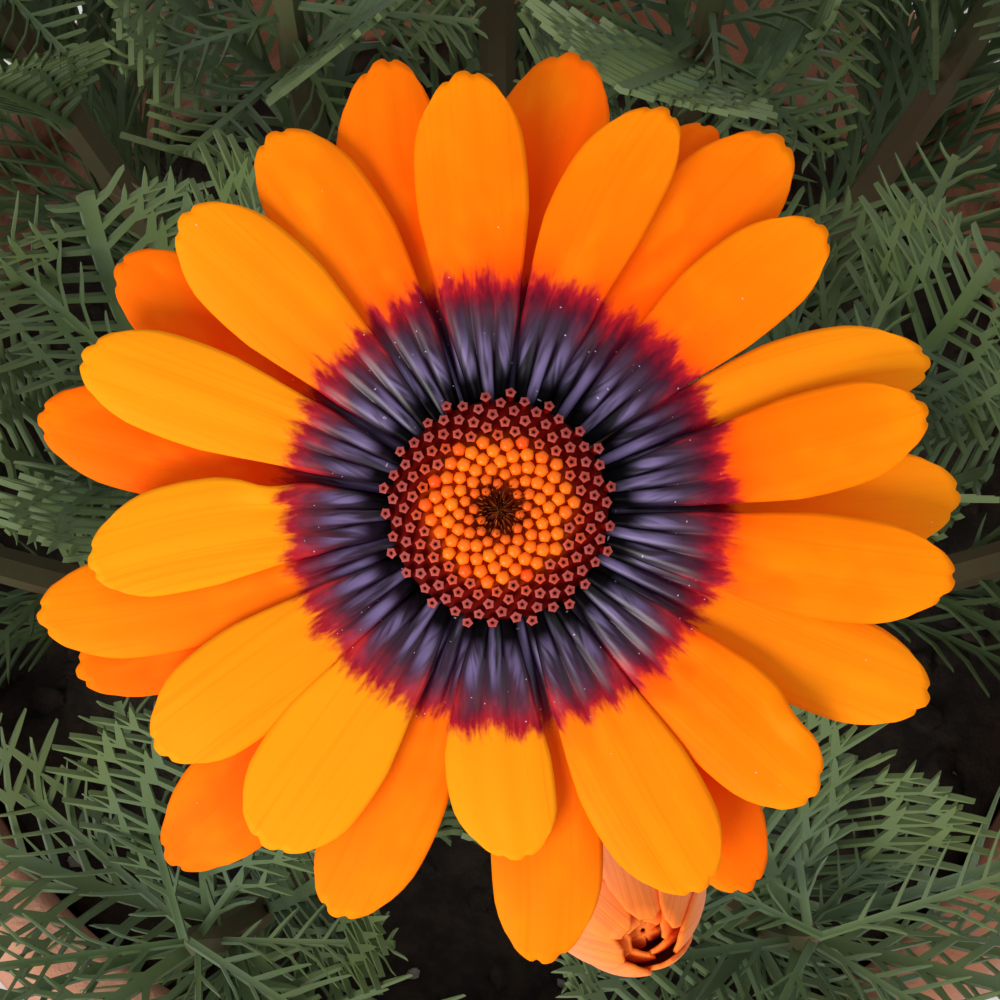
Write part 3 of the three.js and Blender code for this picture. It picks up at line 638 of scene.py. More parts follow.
def petal_face_material(streaks, specks):
    """Orange, with a crimson fringe round a band of dark violet with coat sheen and a painted lavender sheen
    on its ridges, by distance from the head's axis.
    """
    petal = Finish("orange petal face", IOR=1.4, Specular_IOR_Level=0.06, Coat_Roughness=0.34)
    across = petal.trait("across_mm")
    radius = petal.trait("from_axis_mm")
    edge = petal.maths("ABSOLUTE", petal.trait("across_share"))
    teeth = petal.petal_streaks(streaks, 1.5, 3.0)
    fuzz = petal.petal_streaks(streaks, 5.0, 0.6)
    veins = petal.petal_streaks(streaks, 3.0, 26.0)
    patches = petal.petal_streaks(streaks, 0.35, 5.0)
    gleams = petal.petal_streaks(streaks, 3.2, 4.5)

    jag = petal.maths("ADD", petal.swing(teeth, 2.8), petal.swing(fuzz, 1.1))
    fringed = petal.maths("SUBTRACT", petal.maths("ADD", radius, jag), petal.trait("fringe_shift"))
    place = petal.maths("DIVIDE", fringed, RAY_FULL_RADIUS)
    lower = petal.rest(petal.step(radius, 10.6, 12.4))
    redness = petal.times(petal.step(edge, 0.5, 0.98), petal.step(radius, 8.0, 10.2), lower, 0.052)
    dark = petal.ramp(petal.maths("ADD", place, redness), BAND_TONES)
    # Painted highlight: lavender sheen painted on the ridge crests of the dark band, broken by gleams and
    # fading outward
    crest = petal.step(petal.trait("ridge"), 0.42, 0.98)
    from_side = petal.times(petal.step(edge, 0.3, 0.5), 1.5)
    band = petal.times(petal.step(petal.maths("SUBTRACT", radius, from_side), 5.7, 7.1), lower)
    fading = petal.rest(petal.times(petal.step(radius, 8.8, 10.7), 0.88))
    painted_sheen = petal.times(crest, band, petal.step(gleams, 0.36, 0.6), fading)
    dark = petal.mix(painted_sheen, dark, (0.172, 0.118, 0.262))

    orange = petal.ramp(petal.maths("DIVIDE", radius, RAY_FULL_RADIUS), ORANGE_TONES)
    # Painted light: the tone trait tints petals paler where light falls on them
    orange = petal.tint(orange, (1.0, 0.325, 0.0045), petal.trait("tone"), 0.9)
    # Painted shade: petals in the back layers are tinted deep red, most toward their bases where front
    # petals overlap them
    inward = petal.span(petal.step(radius, 14.0, 25.0), 1.0, 0.6)
    orange = petal.tint(orange, (1.0, 0.088, 0.0), petal.trait("depth"), inward)
    orange = petal.tint(orange, (1.0, 0.300, 0.002), petal.step(patches, 0.45, 0.75), 0.35)
    orange = petal.tint(orange, (0.97, 0.110, 0.0), petal.step(veins, 0.5, 0.72), 0.18)

    fringe = petal.step(place, 0.474, 0.518)
    rarity = petal.span(fringe, 0.72, 0.988)
    # Painted highlight: pale glint specks tinted over the fringe
    painted_glints = petal.group(specks, Across=across, Along=radius, Seed=petal.trait("petal_seed"), Rarity=rarity)
    petal.give(
        Base_Color=petal.tint(petal.mix(fringe, dark, orange), (0.75, 0.62, 0.68), painted_glints, 0.6),
        Roughness=petal.span(fringe, 0.36, 0.55),
        Coat_Weight=petal.times(band, 0.6),
    )
    return petal.bump(veins, 0.22, 0.0001)


def petal_back_material(streaks):
    """The under side of the petals: salmon pink over orange, with darker veins."""
    petal = Finish("salmon petal back", Roughness=0.5, IOR=1.4, Specular_IOR_Level=0.2)
    veins = petal.petal_streaks(streaks, 2.6, 18.0)
    base = petal.ramp(petal.maths("DIVIDE", petal.trait("from_axis_mm"), RAY_FULL_RADIUS), SALMON_TONES)
    petal.give(Base_Color=petal.tint(base, (0.66, 0.11, 0.05), petal.step(veins, 0.48, 0.7), 0.35))
    return petal.bump(veins, 0.5, 0.00015)


def disc_bed_material(grain):
    bed = Finish("maroon disc bed", Roughness=0.6, Specular_IOR_Level=0.03)
    bed.give(Base_Color=bed.ramp(bed.trait("from_centre"), DISC_BED_TONES))
    return bed.bump(bed.group(grain, Scale=3000.0), 0.4, 0.0001)


def open_floret_material():
    """Dusty pink stars on maroon tubes: height_share is 0 at the foot of a tube and 1 at its star."""
    floret = Finish("dusty pink floret", Roughness=0.5, Specular_IOR_Level=0.08)
    star = floret.mix(floret.trait("warmth"), (0.42, 0.070, 0.060), (0.78, 0.082, 0.006))
    star = floret.tint(star, (0.50, 0.118, 0.100), floret.trait("tone"), 0.5)
    colour = floret.mix(floret.step(floret.trait("height_share"), 0.8, 0.98), (0.190, 0.0025, 0.001), star)
    floret.give(Base_Color=floret.mix(floret.trait("throat"), colour, (0.20, 0.018, 0.014)))
    return floret.material


def floret_bud_material():
    """Glossy orange buds, deeper in colour at the foot and toward the heart of the disc."""
    gloss = {"Roughness": 0.38, "Specular_IOR_Level": 0.2, "Coat_Weight": 0.12, "Coat_Roughness": 0.2}
    bud = Finish("glossy orange floret bud", **gloss)
    tip = bud.mix(bud.trait("warmth"), (1.0, 0.155, 0.001), (0.92, 0.052, 0.001))
    tip = bud.tint(tip, (1.0, 0.235, 0.001), bud.trait("tone"), 0.6)
    tip = bud.mix(bud.trait("nearness"), tip, (0.80, 0.100, 0.001))
    foot = bud.step(bud.trait("height_share"), 0.45, 0.85)
    bud.give(Base_Color=bud.mix(foot, (0.80, 0.070, 0.001), tip))
    return bud.material


def centre_material():
    """Bristles in the middle: black toward the head's axis, brown and orange away from it."""
    bristle = Finish("dark centre bristle", Roughness=0.45, Specular_IOR_Level=0.2)
    colour = bristle.mix(bristle.trait("tone"), (0.020, 0.004, 0.002), (0.80, 0.170, 0.004))
    tip = bristle.step(bristle.trait("height_share"), 0.35, 1.0)
    bristle.give(Base_Color=bristle.mix(tip, (0.16, 0.015, 0.002), colour))
    return bristle.material


def leaf_material(mottle, grain):
    leaf = Finish("feathery leaf green", Roughness=0.5, Specular_IOR_Level=0.22)
    young = leaf.mix(leaf.trait("tone"), (0.060, 0.097, 0.032), (0.116, 0.158, 0.060))
    colour = leaf.mottled(mottle, young, (0.099, 0.142, 0.084), 160.0, 0.7)
    tips = leaf.step(leaf.trait("out_share"), 0.55, 1.1)
    leaf.give(Base_Color=leaf.tint(colour, (0.150, 0.190, 0.060), tips, 0.35))
    return leaf.bump(leaf.group(grain, Scale=2600.0), 0.35, 0.0001)


def stalk_material(mottle, grain):
    stalk = Finish("ribbed stalk green", Roughness=0.55, Specular_IOR_Level=0.25)
    low = stalk.mix(stalk.trait("out_share"), (0.100, 0.075, 0.040), (0.085, 0.120, 0.045))
    stalk.give(Base_Color=stalk.mottled(mottle, low, (0.120, 0.055, 0.030), 90.0, 0.55))
    return stalk.bump(stalk.group(grain, Scale=2200.0), 0.4, 0.0001)


def bract_material(streaks):
    """Green bracts with a brown line and a papery tip."""
    bract = Finish("papery tipped bract", Roughness=0.55)
    across, along = bract.trait("across_share"), bract.trait("along_share")
    reach = bract.maths("ADD", along, bract.times(bract.maths("ABSOLUTE", across), 0.32))
    place = {
        "Across": bract.times(across, 2.0),
        "Along": bract.times(along, 3.0),
        "Seed": bract.trait("tone"),
    }
    veins = bract.group(streaks, **place, Per_mm=2.5, Stretch=6.0)
    shade = bract.step(veins, 0.45, 0.7)
    bract.give(Base_Color=bract.tint(bract.ramp(reach, BRACT_TONES), (0.050, 0.055, 0.022), shade, 0.4))
    return bract.bump(veins, 0.4, 0.0001)


def clay_material(mottle, grain):
    """Fired clay with pale lime bloom, turning marks and a darker foot."""
    clay = Finish("terracotta clay", Roughness=0.82)
    colour = clay.mottled(mottle, (0.430, 0.150, 0.072), (0.520, 0.215, 0.120), 22.0, 0.9)
    bloom = clay.mottled(mottle, (0.0, 0.0, 0.0), (1.0, 1.0, 1.0), 60.0)
    place = clay.object_place()
    height = clay.node("SeparateXYZ", {"Vector": place}).outputs["Z"]
    limed = clay.times(bloom, clay.step(height, 0.0, 0.07))
    colour = clay.tint(colour, (0.660, 0.430, 0.310), limed, 0.3)
    # The clay is darker toward the pot's foot
    foot_darkening = clay.rest(clay.step(height, 0.002, 0.03))
    clay.give(Base_Color=clay.tint(colour, (0.250, 0.085, 0.042), foot_darkening, 0.45))
    wave = {"Vector": place, "Scale": 190.0, "Distortion": 2.5, "Detail": 2.0}
    marks = clay.times(clay.node("TexWave", wave, bands_direction="Z").outputs["Fac"], 0.22)
    return clay.bump(clay.maths("ADD", clay.group(grain, Scale=900.0), marks), 0.5, 0.0006)


def soil_material(mottle, grain, name, colour, patch):
    soil = Finish(name, Roughness=0.95)
    soil.give(Base_Color=soil.mottled(mottle, colour, patch, 420.0))
    return soil.bump(soil.group(grain, Scale=1500.0), 0.9, 0.0005)


def floor_material(mottle):
    floor = Finish("pale studio floor", Roughness=0.7)
    floor.give(Base_Color=floor.mottled(mottle, (0.740, 0.735, 0.720), (0.760, 0.755, 0.740), 3.0))
    return floor.material


# Stems and leaves

def flared(points):
    """Spreads points about the pot's axis as the stems spread at their heights."""
    share = np.minimum((points[:, 2] - STEM_FOOT) / (FLARE_TOP - STEM_FOOT), 1)
    spread = FLARE_START + (1 - FLARE_START) * np.sin(share * math.pi / 2)
    return np.column_stack((points[:, 0] * spread, points[:, 1] * spread, points[:, 2]))


def stem_ring(count, ring, turn, **growth):
    angles = [math.radians(turn + number * 360 / count) for number in range(count)]
    return [Stem(Vector((ring * math.cos(a), ring * math.sin(a))), a, **growth) for a in angles]


STEMS = stem_ring(**INNER_STEMS) + stem_ring(**OUTER_STEMS)


def room_for(stem, direction, half_width):
    """How far a leaf may reach in a direction before it would enter a neighbour's cell."""
    room = LEAF_REACH_MOST
    for other in STEMS:
        if other is stem:
            continue
        toward = other.place - stem.place
        border = toward.length / 2 - CELL_CLEARANCE
        toward.normalize()
        along = direction.dot(toward)
        across = abs(direction.cross(toward))
        if along <= 0:
            continue
        room = min(room, (border - 0.35 * half_width * across) / along)
        room = min(room, (border - half_width * across) / (0.8 * along))
    return room


def leaf_move(stem, height, angle, length):
    """Bends a flat leaf blank along its rib, beside an upright stem, then spreads it with the stems."""
    out = np.array((math.cos(angle), math.sin(angle), 0.0))
    side = np.array((-out[1], out[0], 0.0))
    half_width = LEAF_HALF_WIDTH * length / LEAF_LENGTH
    reach = min(room_for(stem, Vector(out[:2]), half_width), 0.94 * length)
    rise = math.sqrt(max(length * length - reach * reach, 0)) * 0.86
    spreading = min(max(reach / LEAF_REACH_MOST, 0), 1)
    root = np.array((*stem.place, height))
    bend = root + out * reach * lerp(0.8, 0.5, spreading)
    bend[2] += rise * lerp(0.3, 0.95, spreading)
    end = root + out * reach
    end[2] += rise * lerp(1, 0.8, spreading)

    def move(points):
        across = points[:, 0] * length / LEAF_LENGTH
        share = np.clip(points[:, 1] / LEAF_LENGTH, 0, 1)[:, None]
        beyond = np.maximum(points[:, 1] - LEAF_LENGTH, 0)[:, None] * length / LEAF_LENGTH
        rib = (1 - share) ** 2 * root + 2 * share * (1 - share) * bend + share**2 * end
        tangent = (1 - share) * (bend - root) + share * (end - bend)
        tangent /= np.linalg.norm(tangent, axis=1)[:, None]
        up = np.cross(tangent, side)
        lift = (np.abs(across) * LOBE_LIFT + points[:, 2])[:, None]
        return flared(rib + side * across[:, None] + up * lift + tangent * beyond)

    return move


def leaf_plan(stem, number):
    """Height, angle and length of each full leaf: a spiral up the stem, and more on an open side."""
    draw = seeded_draws(number + 3)
    plan = []
    for leaf in range(stem.leaves):
        share = (leaf + 0.4) / stem.leaves
        height = lerp(stem.lowest_leaf, stem.top - 4, share)
        angle = stem.angle + leaf * GOLDEN_ANGLE + 0.5 * (next(draw) - 0.5)
        plan.append((height, angle, LEAF_LENGTH * lerp(0.88, 1.1, next(draw)) * lerp(1, 0.9, share)))
    hand = SPREADING_STEMS.get(number)
    if hand:
        plan += [(height, stem.angle + hand * swing, length) for height, swing, length in SIDE_LEAVES]
    return plan


def young_leaf_plan(stem, number):
    """Leaves low on the stem, and a tuft of short ones at its top."""
    draw = random.Random(100 + number)
    outer = stem.top == OUTER_STEMS["top"]
    heights = OUTER_YOUNG_HEIGHTS if outer else INNER_YOUNG_HEIGHTS
    swings = OUTER_YOUNG_SWINGS if outer else [1 + leaf * GOLDEN_ANGLE for leaf in range(len(heights))]
    plan = []
    for height, swing in zip(heights, swings):
        plan.append((height, stem.angle + swing + draw.uniform(-0.12, 0.12), draw.uniform(25, 33)))
    for height, swing in zip(SKIRT_HEIGHTS, SKIRT_SWINGS if outer else ()):
        plan.append((height, stem.angle + swing, draw.uniform(25, 29)))
    for leaf in range(TUFT_LEAVES):
        height = stem.top - 8 + 1.5 * leaf
        plan.append((height, stem.angle + 2 + leaf * GOLDEN_ANGLE, draw.uniform(14, 20)))
    return plan


def lobe_reach(place):
    """How far the lobes stand out, from the foot of the rib at 0 to its tip at 1."""
    return LEAF_HALF_WIDTH * np.interp(place, (0.1, 0.3, 0.53, 0.76, 0.96), (0.35, 0.75, 1, 0.75, 0.28))


def draw_lobe(piece, edge_middle, length, branched):
    """Draws a narrow lobe out of one edge, with small lobes in pairs on it if it is branched."""
    pick_nearest_edge(piece, edge_middle)
    heading = Vector((math.sin(LOBE_ANGLE), math.cos(LOBE_ANGLE), 0))
    middle = edge_middle.copy()
    half = Vector((0, LEAF_LENGTH / LEAF_STEPS / 2, 0))
    forks = []
    for number, (share, ratio) in enumerate(LOBE_STEPS):
        heading = (heading + Vector((0, 0.05, 0))).normalized()
        move = heading * share * length
        extrude(move)
        resize((1, ratio, 1), middle + move)
        if branched and number % 2:
            forks += [(middle + move / 2 + hand * half * (1 + ratio) / 2, hand, share) for hand in (1, -1)]
        middle = middle + move
        half = half * ratio
    for fork, hand, share in forks:
        pick_nearest_edge(piece, fork)
        side_lobe = Matrix.Rotation(SIDE_LOBE_ANGLE * hand, 3, "Z") @ heading * 2.1 * share * length
        extrude(side_lobe)
        resize((0.7, 0.7, 1), fork + side_lobe)
        extrude(side_lobe * 0.6)
        resize((0.15, 0.15, 1), fork + side_lobe * 1.6)


def leaf_blank(name, pairs, branched):
    """A flat leaf of full length: half a rib with its lobes drawn out of its edge, then mirrored."""
    blank = new_blank(name, "grid", x_subdivisions=1, y_subdivisions=LEAF_STEPS, size=1)
    blank.scale = (RIB_HALF_WIDTH, LEAF_LENGTH, 1)
    blank.location = (RIB_HALF_WIDTH / 2, LEAF_LENGTH / 2, 0)
    bpy.ops.object.transform_apply(location=True, rotation=False, scale=True)
    with editing(blank):
        for place in np.linspace(0.14, 0.95, pairs):
            root = Vector((RIB_HALF_WIDTH, (round(place * LEAF_STEPS) + 0.5) / LEAF_STEPS * LEAF_LENGTH, 0))
            reach = lobe_reach(place)
            draw_lobe(blank, root, (reach - RIB_HALF_WIDTH) / math.sin(LOBE_ANGLE), branched and reach > 5)
    apply_modifier(blank, "MIRROR", merge_threshold=0.001)
    points = points_of(blank.data)
    stagger = 0.36 * LEAF_LENGTH / pairs
    points[:, 1] += stagger * (points[:, 0] < 0) * smooth(RIB_HALF_WIDTH, 3, np.abs(points[:, 0]))
    set_points(blank.data, points)
    give_trait(blank.data, "out_share", np.hypot(points[:, 0] / LEAF_HALF_WIDTH, points[:, 1] / LEAF_LENGTH))
    return blank


def add_leaves(number, stem, full, young, material):
    draw = random.Random(number)
    plans = [(full, plan) for plan in leaf_plan(stem, number)]
    plans += [(young, plan) for plan in young_leaf_plan(stem, number)]
    parts = [copy_of(blank, leaf_move(stem, *plan), tone=draw.random()) for blank, plan in plans]
    leaves = joined(f"stem_{number + 1}_leaves", parts)
    apply_modifier(leaves, "SOLIDIFY", thickness=LEAF_THICKNESS * MM, offset=0)
    return finish_piece(leaves, [material], angle=60)


# Stalks

def stalk_blank(name, steps, rib_depth, sides=12, ribs=6):
    """A ribbed rod of unit radius, one unit long."""
    blank = new_blank(name, "cylinder", (0, 0, 0.5), vertices=sides, radius=1, depth=1)
    with editing(blank):
        pick(blank, "edges", lambda e: abs(e.verts[0].co.z - e.verts[1].co.z) > 0.5)
        bpy.ops.mesh.subdivide(number_cuts=steps - 1)
        pick(blank, "verts", lambda v: math.cos(ribs * math.atan2(v.co.y, v.co.x)) < 0)
        resize((1 - rib_depth, 1 - rib_depth, 1))
    return blank


def path_move(path, radius_at):
    """Bends a rod of unit length along a path of points, with its frame carried along without twist."""
    tangents = np.gradient(path, axis=0)
    tangents /= np.linalg.norm(tangents, axis=1)[:, None]
    normal = np.cross(tangents[0], (0.0, 1.0, 0.0))
    normals = []
    for tangent in tangents:
        normal = normal - tangent * np.dot(normal, tangent)
        normal = normal / np.linalg.norm(normal)
        normals.append(normal)
    normals = np.array(normals)
    binormals = np.cross(tangents, normals)

    def move(points):
        place = points[:, 2] * (len(path) - 1)
        low = np.clip(np.floor(place).astype(int), 0, len(path) - 2)
        share = (place - low)[:, None]
        along = lambda rows: rows[low] * (1 - share) + rows[low + 1] * share
        radius = radius_at(points[:, 2])[:, None]
        return along(path) + (along(normals) * points[:, :1] + along(binormals) * points[:, 1:2]) * radius

    return move


def catmull_rom(points, steps):
    """A centripetal curve through the points."""
    points = [np.array(point, float) for point in points]
    padded = [2 * points[0] - points[1], *points, 2 * points[-1] - points[-2]]
    curve = []
    for number in range(len(points) - 1):
        p0, p1, p2, p3 = padded[number : number + 4]
        d0, d1, d2 = (math.sqrt(np.linalg.norm(b - a)) for a, b in ((p0, p1), (p1, p2), (p2, p3)))
        t1 = ((p1 - p0) / d0 - (p2 - p0) / (d0 + d1) + (p2 - p1) / d1) * d1
        t2 = ((p2 - p1) / d1 - (p3 - p1) / (d1 + d2) + (p3 - p2) / d2) * d1
        for step in range(steps):
            t = step / steps
            blend = (2 * t**3 - 3 * t**2 + 1, t**3 - 2 * t**2 + t, 3 * t**2 - 2 * t**3, t**3 - t**2)
            curve.append(blend[0] * p1 + blend[1] * t1 + blend[2] * p2 + blend[3] * t2)
    curve.append(points[-1])
    return np.array(curve)


def head_matrix(head):
    heading = math.radians(head.toward)
    axle = Vector((-math.sin(heading), math.cos(heading), 0))
    turn = Matrix.Rotation(math.radians(head.lean), 4, axle)
    return Matrix.Translation(head.place) @ turn @ Matrix.Scale(head.size, 4)


def on_head(head, points):
    matrix = np.array(head_matrix(head))
    return points @ matrix[:3, :3].T + matrix[:3, 3]


def stem_points(stem, low, high, count):
    return flared(np.array([(*stem.place, height) for height in np.linspace(low, high, count)]))


def stalk_path(stem, head):
    foot, top = stem_points(stem, stem.top - 7, stem.top, 2)
    neck, below = on_head(head, np.array(((0, 0, 1 - INVOLUCRE_DEPTH), (0, 0, -INVOLUCRE_DEPTH - 14.0))))
    column = np.array((*(lerp(stem.place[i], below[i], 0.35) for i in (0, 1)), below[2]))
    return catmull_rom([foot, top, lerp(top, column, 0.55), below, neck], 12)


def add_stem(number, stem, stem_rod, stalk_rod, material):
    path = stem_points(stem, STEM_FOOT, stem.top, 24)
    taper = lambda share: STEM_RADIUS * (1.05 - 0.25 * share) * (1 - 0.85 * smooth(0.9, 1, share))
    swell = lambda share: STALK_RADIUS * (1.1 - 0.25 * share + 0.9 * smooth(0.93, 1, share))
    heights = points_of(stem_rod.data)[:, 2]
    parts = [copy_of(stem_rod, path_move(path, taper), out_share=heights * 0.5)]
    heights = points_of(stalk_rod.data)[:, 2]
    for head in HEADS.values():
        if head.stem == number:
            move = path_move(stalk_path(stem, head), swell)
            parts.append(copy_of(stalk_rod, move, out_share=0.5 + heights * 0.5))
    piece = joined(f"stem_{number + 1}", parts)
    return finish_piece(piece, [material], f"leafy_stem_{number + 1}", angle=50)


# Petals

def petal_blank(name, columns, rows, outline):
    """A flat petal, one unit wide and one long, that bears how far across and along its points lie."""
    blank = new_blank(name, "grid", (0, 0.5, 0), x_subdivisions=columns, y_subdivisions=rows, size=1)
    points = points_of(blank.data)
    give_trait(blank.data, "across_share", points[:, 0] * 2)
    give_trait(blank.data, "along_share", points[:, 1])
    give_trait(blank.data, "ridge", 0.5 + 0.5 * np.cos(6 * math.pi * points[:, 0]))
    places, halves = zip(*outline)
    with editing(blank):
        for row in range(rows + 1):
            share = row / rows
            pick(blank, "verts", lambda v: abs(v.co.y - share) < 0.3 / rows)
            resize((2 * float(np.interp(share, places, halves)), 1, 1))
    return blank


def across_share_of(blank):
    values = np.empty(len(blank.data.vertices), np.float32)
    blank.data.attributes["across_share"].data.foreach_get("value", values)
    return values.astype(float)


def ray_height(layer, radius):
    share = (radius - RAY_BASE_RADIUS) / (RAY_FULL_RADIUS - RAY_BASE_RADIUS)
    return (0.4 - 0.42 * layer) + (2.2 - 2.1 * layer) * share - (2.2 - 0.9 * layer) * share**2


def tip_drop(across_share, skew):
    """How far the rounded tip of a petal falls short of its full length, with two notches in it."""
    rounded = 0.058 * across_share**2 + 0.03 * skew * across_share
    return rounded + 0.013 * np.exp(-(((np.abs(across_share - skew) - 0.36) / 0.12) ** 2))


def ray_move(blank, head, ray, draw, curl):
    """Lays a petal blank on its head: bent to its layer's height, arched, ridged at its base and waved."""
    layer, base, tip, full_radius, width = ray
    across_share = across_share_of(blank)
    furrows = np.cos(3 * math.pi * across_share)
    twist = draw.uniform(-0.05, 0.05)
    wave = draw.uniform(0.05, 0.16)
    phase = draw.uniform(0, 6.28)
    droop = draw.uniform(-0.2, 0.5)
    skew = draw.uniform(-0.2, 0.2)

    def move(points):
        across = points[:, 0] * width
        share = points[:, 1] - tip_drop(across_share, skew) * smooth(0.7, 1, points[:, 1])
        radius = lerp(RAY_BASE_RADIUS, full_radius, share)
        angle = np.radians(lerp(base, tip, share**2))
        fade = 1 - smooth(10.5, 14, radius)
        height = ray_height(layer, radius)
        height += RAY_ARCH * (1 - (2 * points[:, 0]) ** 2) * share
        height += furrows * RIDGE_HEIGHT * fade
        height += furrows * CREASE_HEIGHT * (1 - fade) * (1 - smooth(0.85, 1, share))
        height += twist * across * share
        height += wave * np.sin(7 * share + phase + 2 * across_share) * np.abs(across_share) * share
        height -= droop * smooth(0.7, 1, share) ** 2
        if curl:
            hand, place, depth = curl
            rolled = depth * np.exp(-(((share - place) / 0.07) ** 2)) * smooth(0.3, 1, across_share * hand)
            height += rolled
            across = across - hand * 0.55 * rolled
        x = radius * np.cos(angle) - across * np.sin(angle)
        y = radius * np.sin(angle) + across * np.cos(angle)
        return on_head(head, np.column_stack((x, y, height)))

    return move


def petal_copy(blank, head, ray, seed, curl, painted_lightness):
    layer, base, _, full_radius, width = ray
    side = math.radians(base)
    draw = random.Random(seed)
    points = points_of(blank.data)
    return copy_of(
        blank,
        ray_move(blank, head, ray, draw, curl),
        across_mm=points[:, 0] * width,
        from_axis_mm=lerp(RAY_BASE_RADIUS, full_radius, points[:, 1]),
        petal_seed=draw.random(),
        # depth is painted shade by layer, lessened on the painted-light rays
        depth=layer / 2 * (1 - 0.7 * painted_lightness),
        # tone is painted light: petals on the lit side are painted paler, back layers less so, plus the
        # painted-light rays
        tone=smooth(-0.5, 0.9, math.cos(side - PAINTED_LIGHT_SIDE)) * (1 - 0.3 * layer) + painted_lightness,
        fringe_shift=0.6 * math.cos(side - WIDE_SIDE) - 0.1 + draw.uniform(-0.25, 0.25),
    )


def front_rays(seed):
    """The rays of a plainer bloom, as in the part's source."""
    draw = seeded_draws(seed)
    rays = []
    for number in range(PLAIN_RAYS):
        base = (number + 0.3 * (next(draw) - 0.5)) * 360 / PLAIN_RAYS
        tip = base + 5 * (next(draw) - 0.5)
        layer = 0.1 if number % 2 == 0 else 1.3
        radius = lerp(23, 25.5, next(draw)) + 0.6 * layer
        rays.append((layer, base, tip, radius, lerp(6.6, 7.6, next(draw))))
    return rays


def back_rays(seed):
    """Rays behind those of a plainer bloom, in the gaps between them."""
    draw = random.Random(seed)
    rays = []
    for number in range(PLAIN_RAYS):
        base = (number + 0.5 + draw.uniform(-0.12, 0.12)) * 360 / PLAIN_RAYS
        rays.append((2.1, base, base + draw.uniform(-3, 3), draw.uniform(22.5, 24.5), 6))
    return rays


def add_collar(head):
    """The dark ring that the petals grow from: its near-black is partly the band's own dark colour and
    partly painted shade.
    """
    height = COLLAR_HALF_HEIGHT - 0.1
    foot = COLLAR_RADIUS - 0.4
    blank = turned("collar", [(foot, -height), (COLLAR_RADIUS, 0), (foot, height)], 40)
    traits = {"from_axis_mm": RAY_BASE_RADIUS, "petal_seed": 0.5}
    collar = copy_of(blank, lambda points: on_head(head, points), **traits)
    drop(blank)
    return collar


def finish_petals(name, head, parts, offset, materials):
    petals = joined(f"{name}_petals", parts)
    apply_modifier(petals, "SOLIDIFY", thickness=PETAL_THICKNESS * MM, offset=offset, material_offset=1)
    petals = joined(f"{name}_petals", [petals, add_collar(head)])
    return finish_piece(petals, materials, f"{name}_rays")


def add_petals(name, blank, rays, materials, curls, painted_light_rays):
    head = HEADS[name]
    parts = []
    for number, ray in enumerate(rays):
        seed = 31 * number + len(name)
        parts.append(petal_copy(blank, head, ray, seed, curls.get(number), painted_light_rays.get(number, 0)))
    return finish_petals(name, head, parts, -1, materials)


def closing_move(head, angle, outset):
    """Bends a petal blank up into the cup of a closing bloom."""
    start, low, high, end = np.array(CLOSING_CURVE) + ((0, 0), (0, 0), (0, 0), (0, outset))

    def move(points):
        share = points[:, 1][:, None]
        rest = 1 - share
        place = rest**3 * start + 3 * rest**2 * share * low + 3 * rest * share**2 * high + share**3 * end
        radius = place[:, 0] + outset * smooth(0, 0.3, points[:, 1])
        bend = np.maximum(radius, CLOSING_LEAST_BEND)
        swing = points[:, 0] * CLOSING_WIDTH / bend
        out = radius - bend * (1 - np.cos(swing)) - 0.5 * (2 * points[:, 0]) ** 2 + CLOSING_OVERLAP * swing
        side = bend * np.sin(swing)
        x = out * math.cos(angle) - side * math.sin(angle)
        y = out * math.sin(angle) + side * math.cos(angle)
        return on_head(head, np.column_stack((x, y, place[:, 1])))

    return move


def add_closing_petals(name, blank, materials):
    head = HEADS[name]
    points = points_of(blank.data)
    traits = {
        "across_mm": points[:, 0] * CLOSING_WIDTH,
        "from_axis_mm": lerp(9.5, 25, points[:, 1]),
        # depth and tone set a constant painted shade and painted light on the closing bloom's petals
        "depth": 0.2,
        "tone": 0.5,
    }
    parts = []
    for count, outset, turn in CLOSING_ROUNDS:
        for number in range(count):
            move = closing_move(head, turn + number / count * 2 * math.pi, outset)
            parts.append(copy_of(blank, move, **traits, petal_seed=number / 7 + outset))
    return finish_petals(name, head, parts, 0, materials)


# Discs

def in_notch(v):
    """Tells whether a point of a floret's rim lies between two of its five points."""
    return math.cos(5 * math.atan2(v.co.x, v.co.y)) < 0


def open_floret_blank():
    """A tube that opens in a five-pointed star with a sunken throat."""
    blank = new_blank("open floret", "circle", (0, 0, -0.9), vertices=10, radius=0.25)
    with editing(blank):
        pick(blank, "edges", lambda e: True)
        for rise, ratio in ((0.75, 1), (0.16, 1.45)):
            draw_up(rise, ratio)
        pick(blank, "verts", lambda v: v.co.z > 0 and in_notch(v))
        resize((0.78, 0.78, 1))
        pick(blank, "edges", lambda e: min(v.co.z for v in e.verts) > 0)
        for rise, ratio in ((0.05, 0.74), (-0.03, 0.42), (-0.3, 0.7)):
            draw_up(rise, ratio)
        bpy.ops.mesh.edge_face_add()
    points = points_of(blank.data)
    give_trait(blank.data, "height_share", points[:, 2] + 0.9)
    give_trait(blank.data, "throat", (np.hypot(points[:, 0], points[:, 1]) < 0.16) & (points[:, 2] > -0.4))
    return blank


def floret_bud_blank():
    """A closed floret: a rounded five-sided bud on a short tube."""
    blank = new_blank("floret bud", "circle", (0, 0, -0.7), vertices=10, radius=0.27)
    with editing(blank):
        pick(blank, "edges", lambda e: True)
        for rise, ratio in ((0.35, 1.22), (0.22, 1.12), (0.16, 0.95), (0.12, 0.72), (0.05, 0.45)):
            draw_up(rise, ratio)
        bpy.ops.mesh.edge_face_add()
        pick(blank, "verts", lambda v: v.co.z > -0.4 and in_notch(v))
        resize((0.88, 0.88, 1))
    give_trait(blank.data, "height_share", (points_of(blank.data)[:, 2] + 0.7) / 0.9)
    return blank


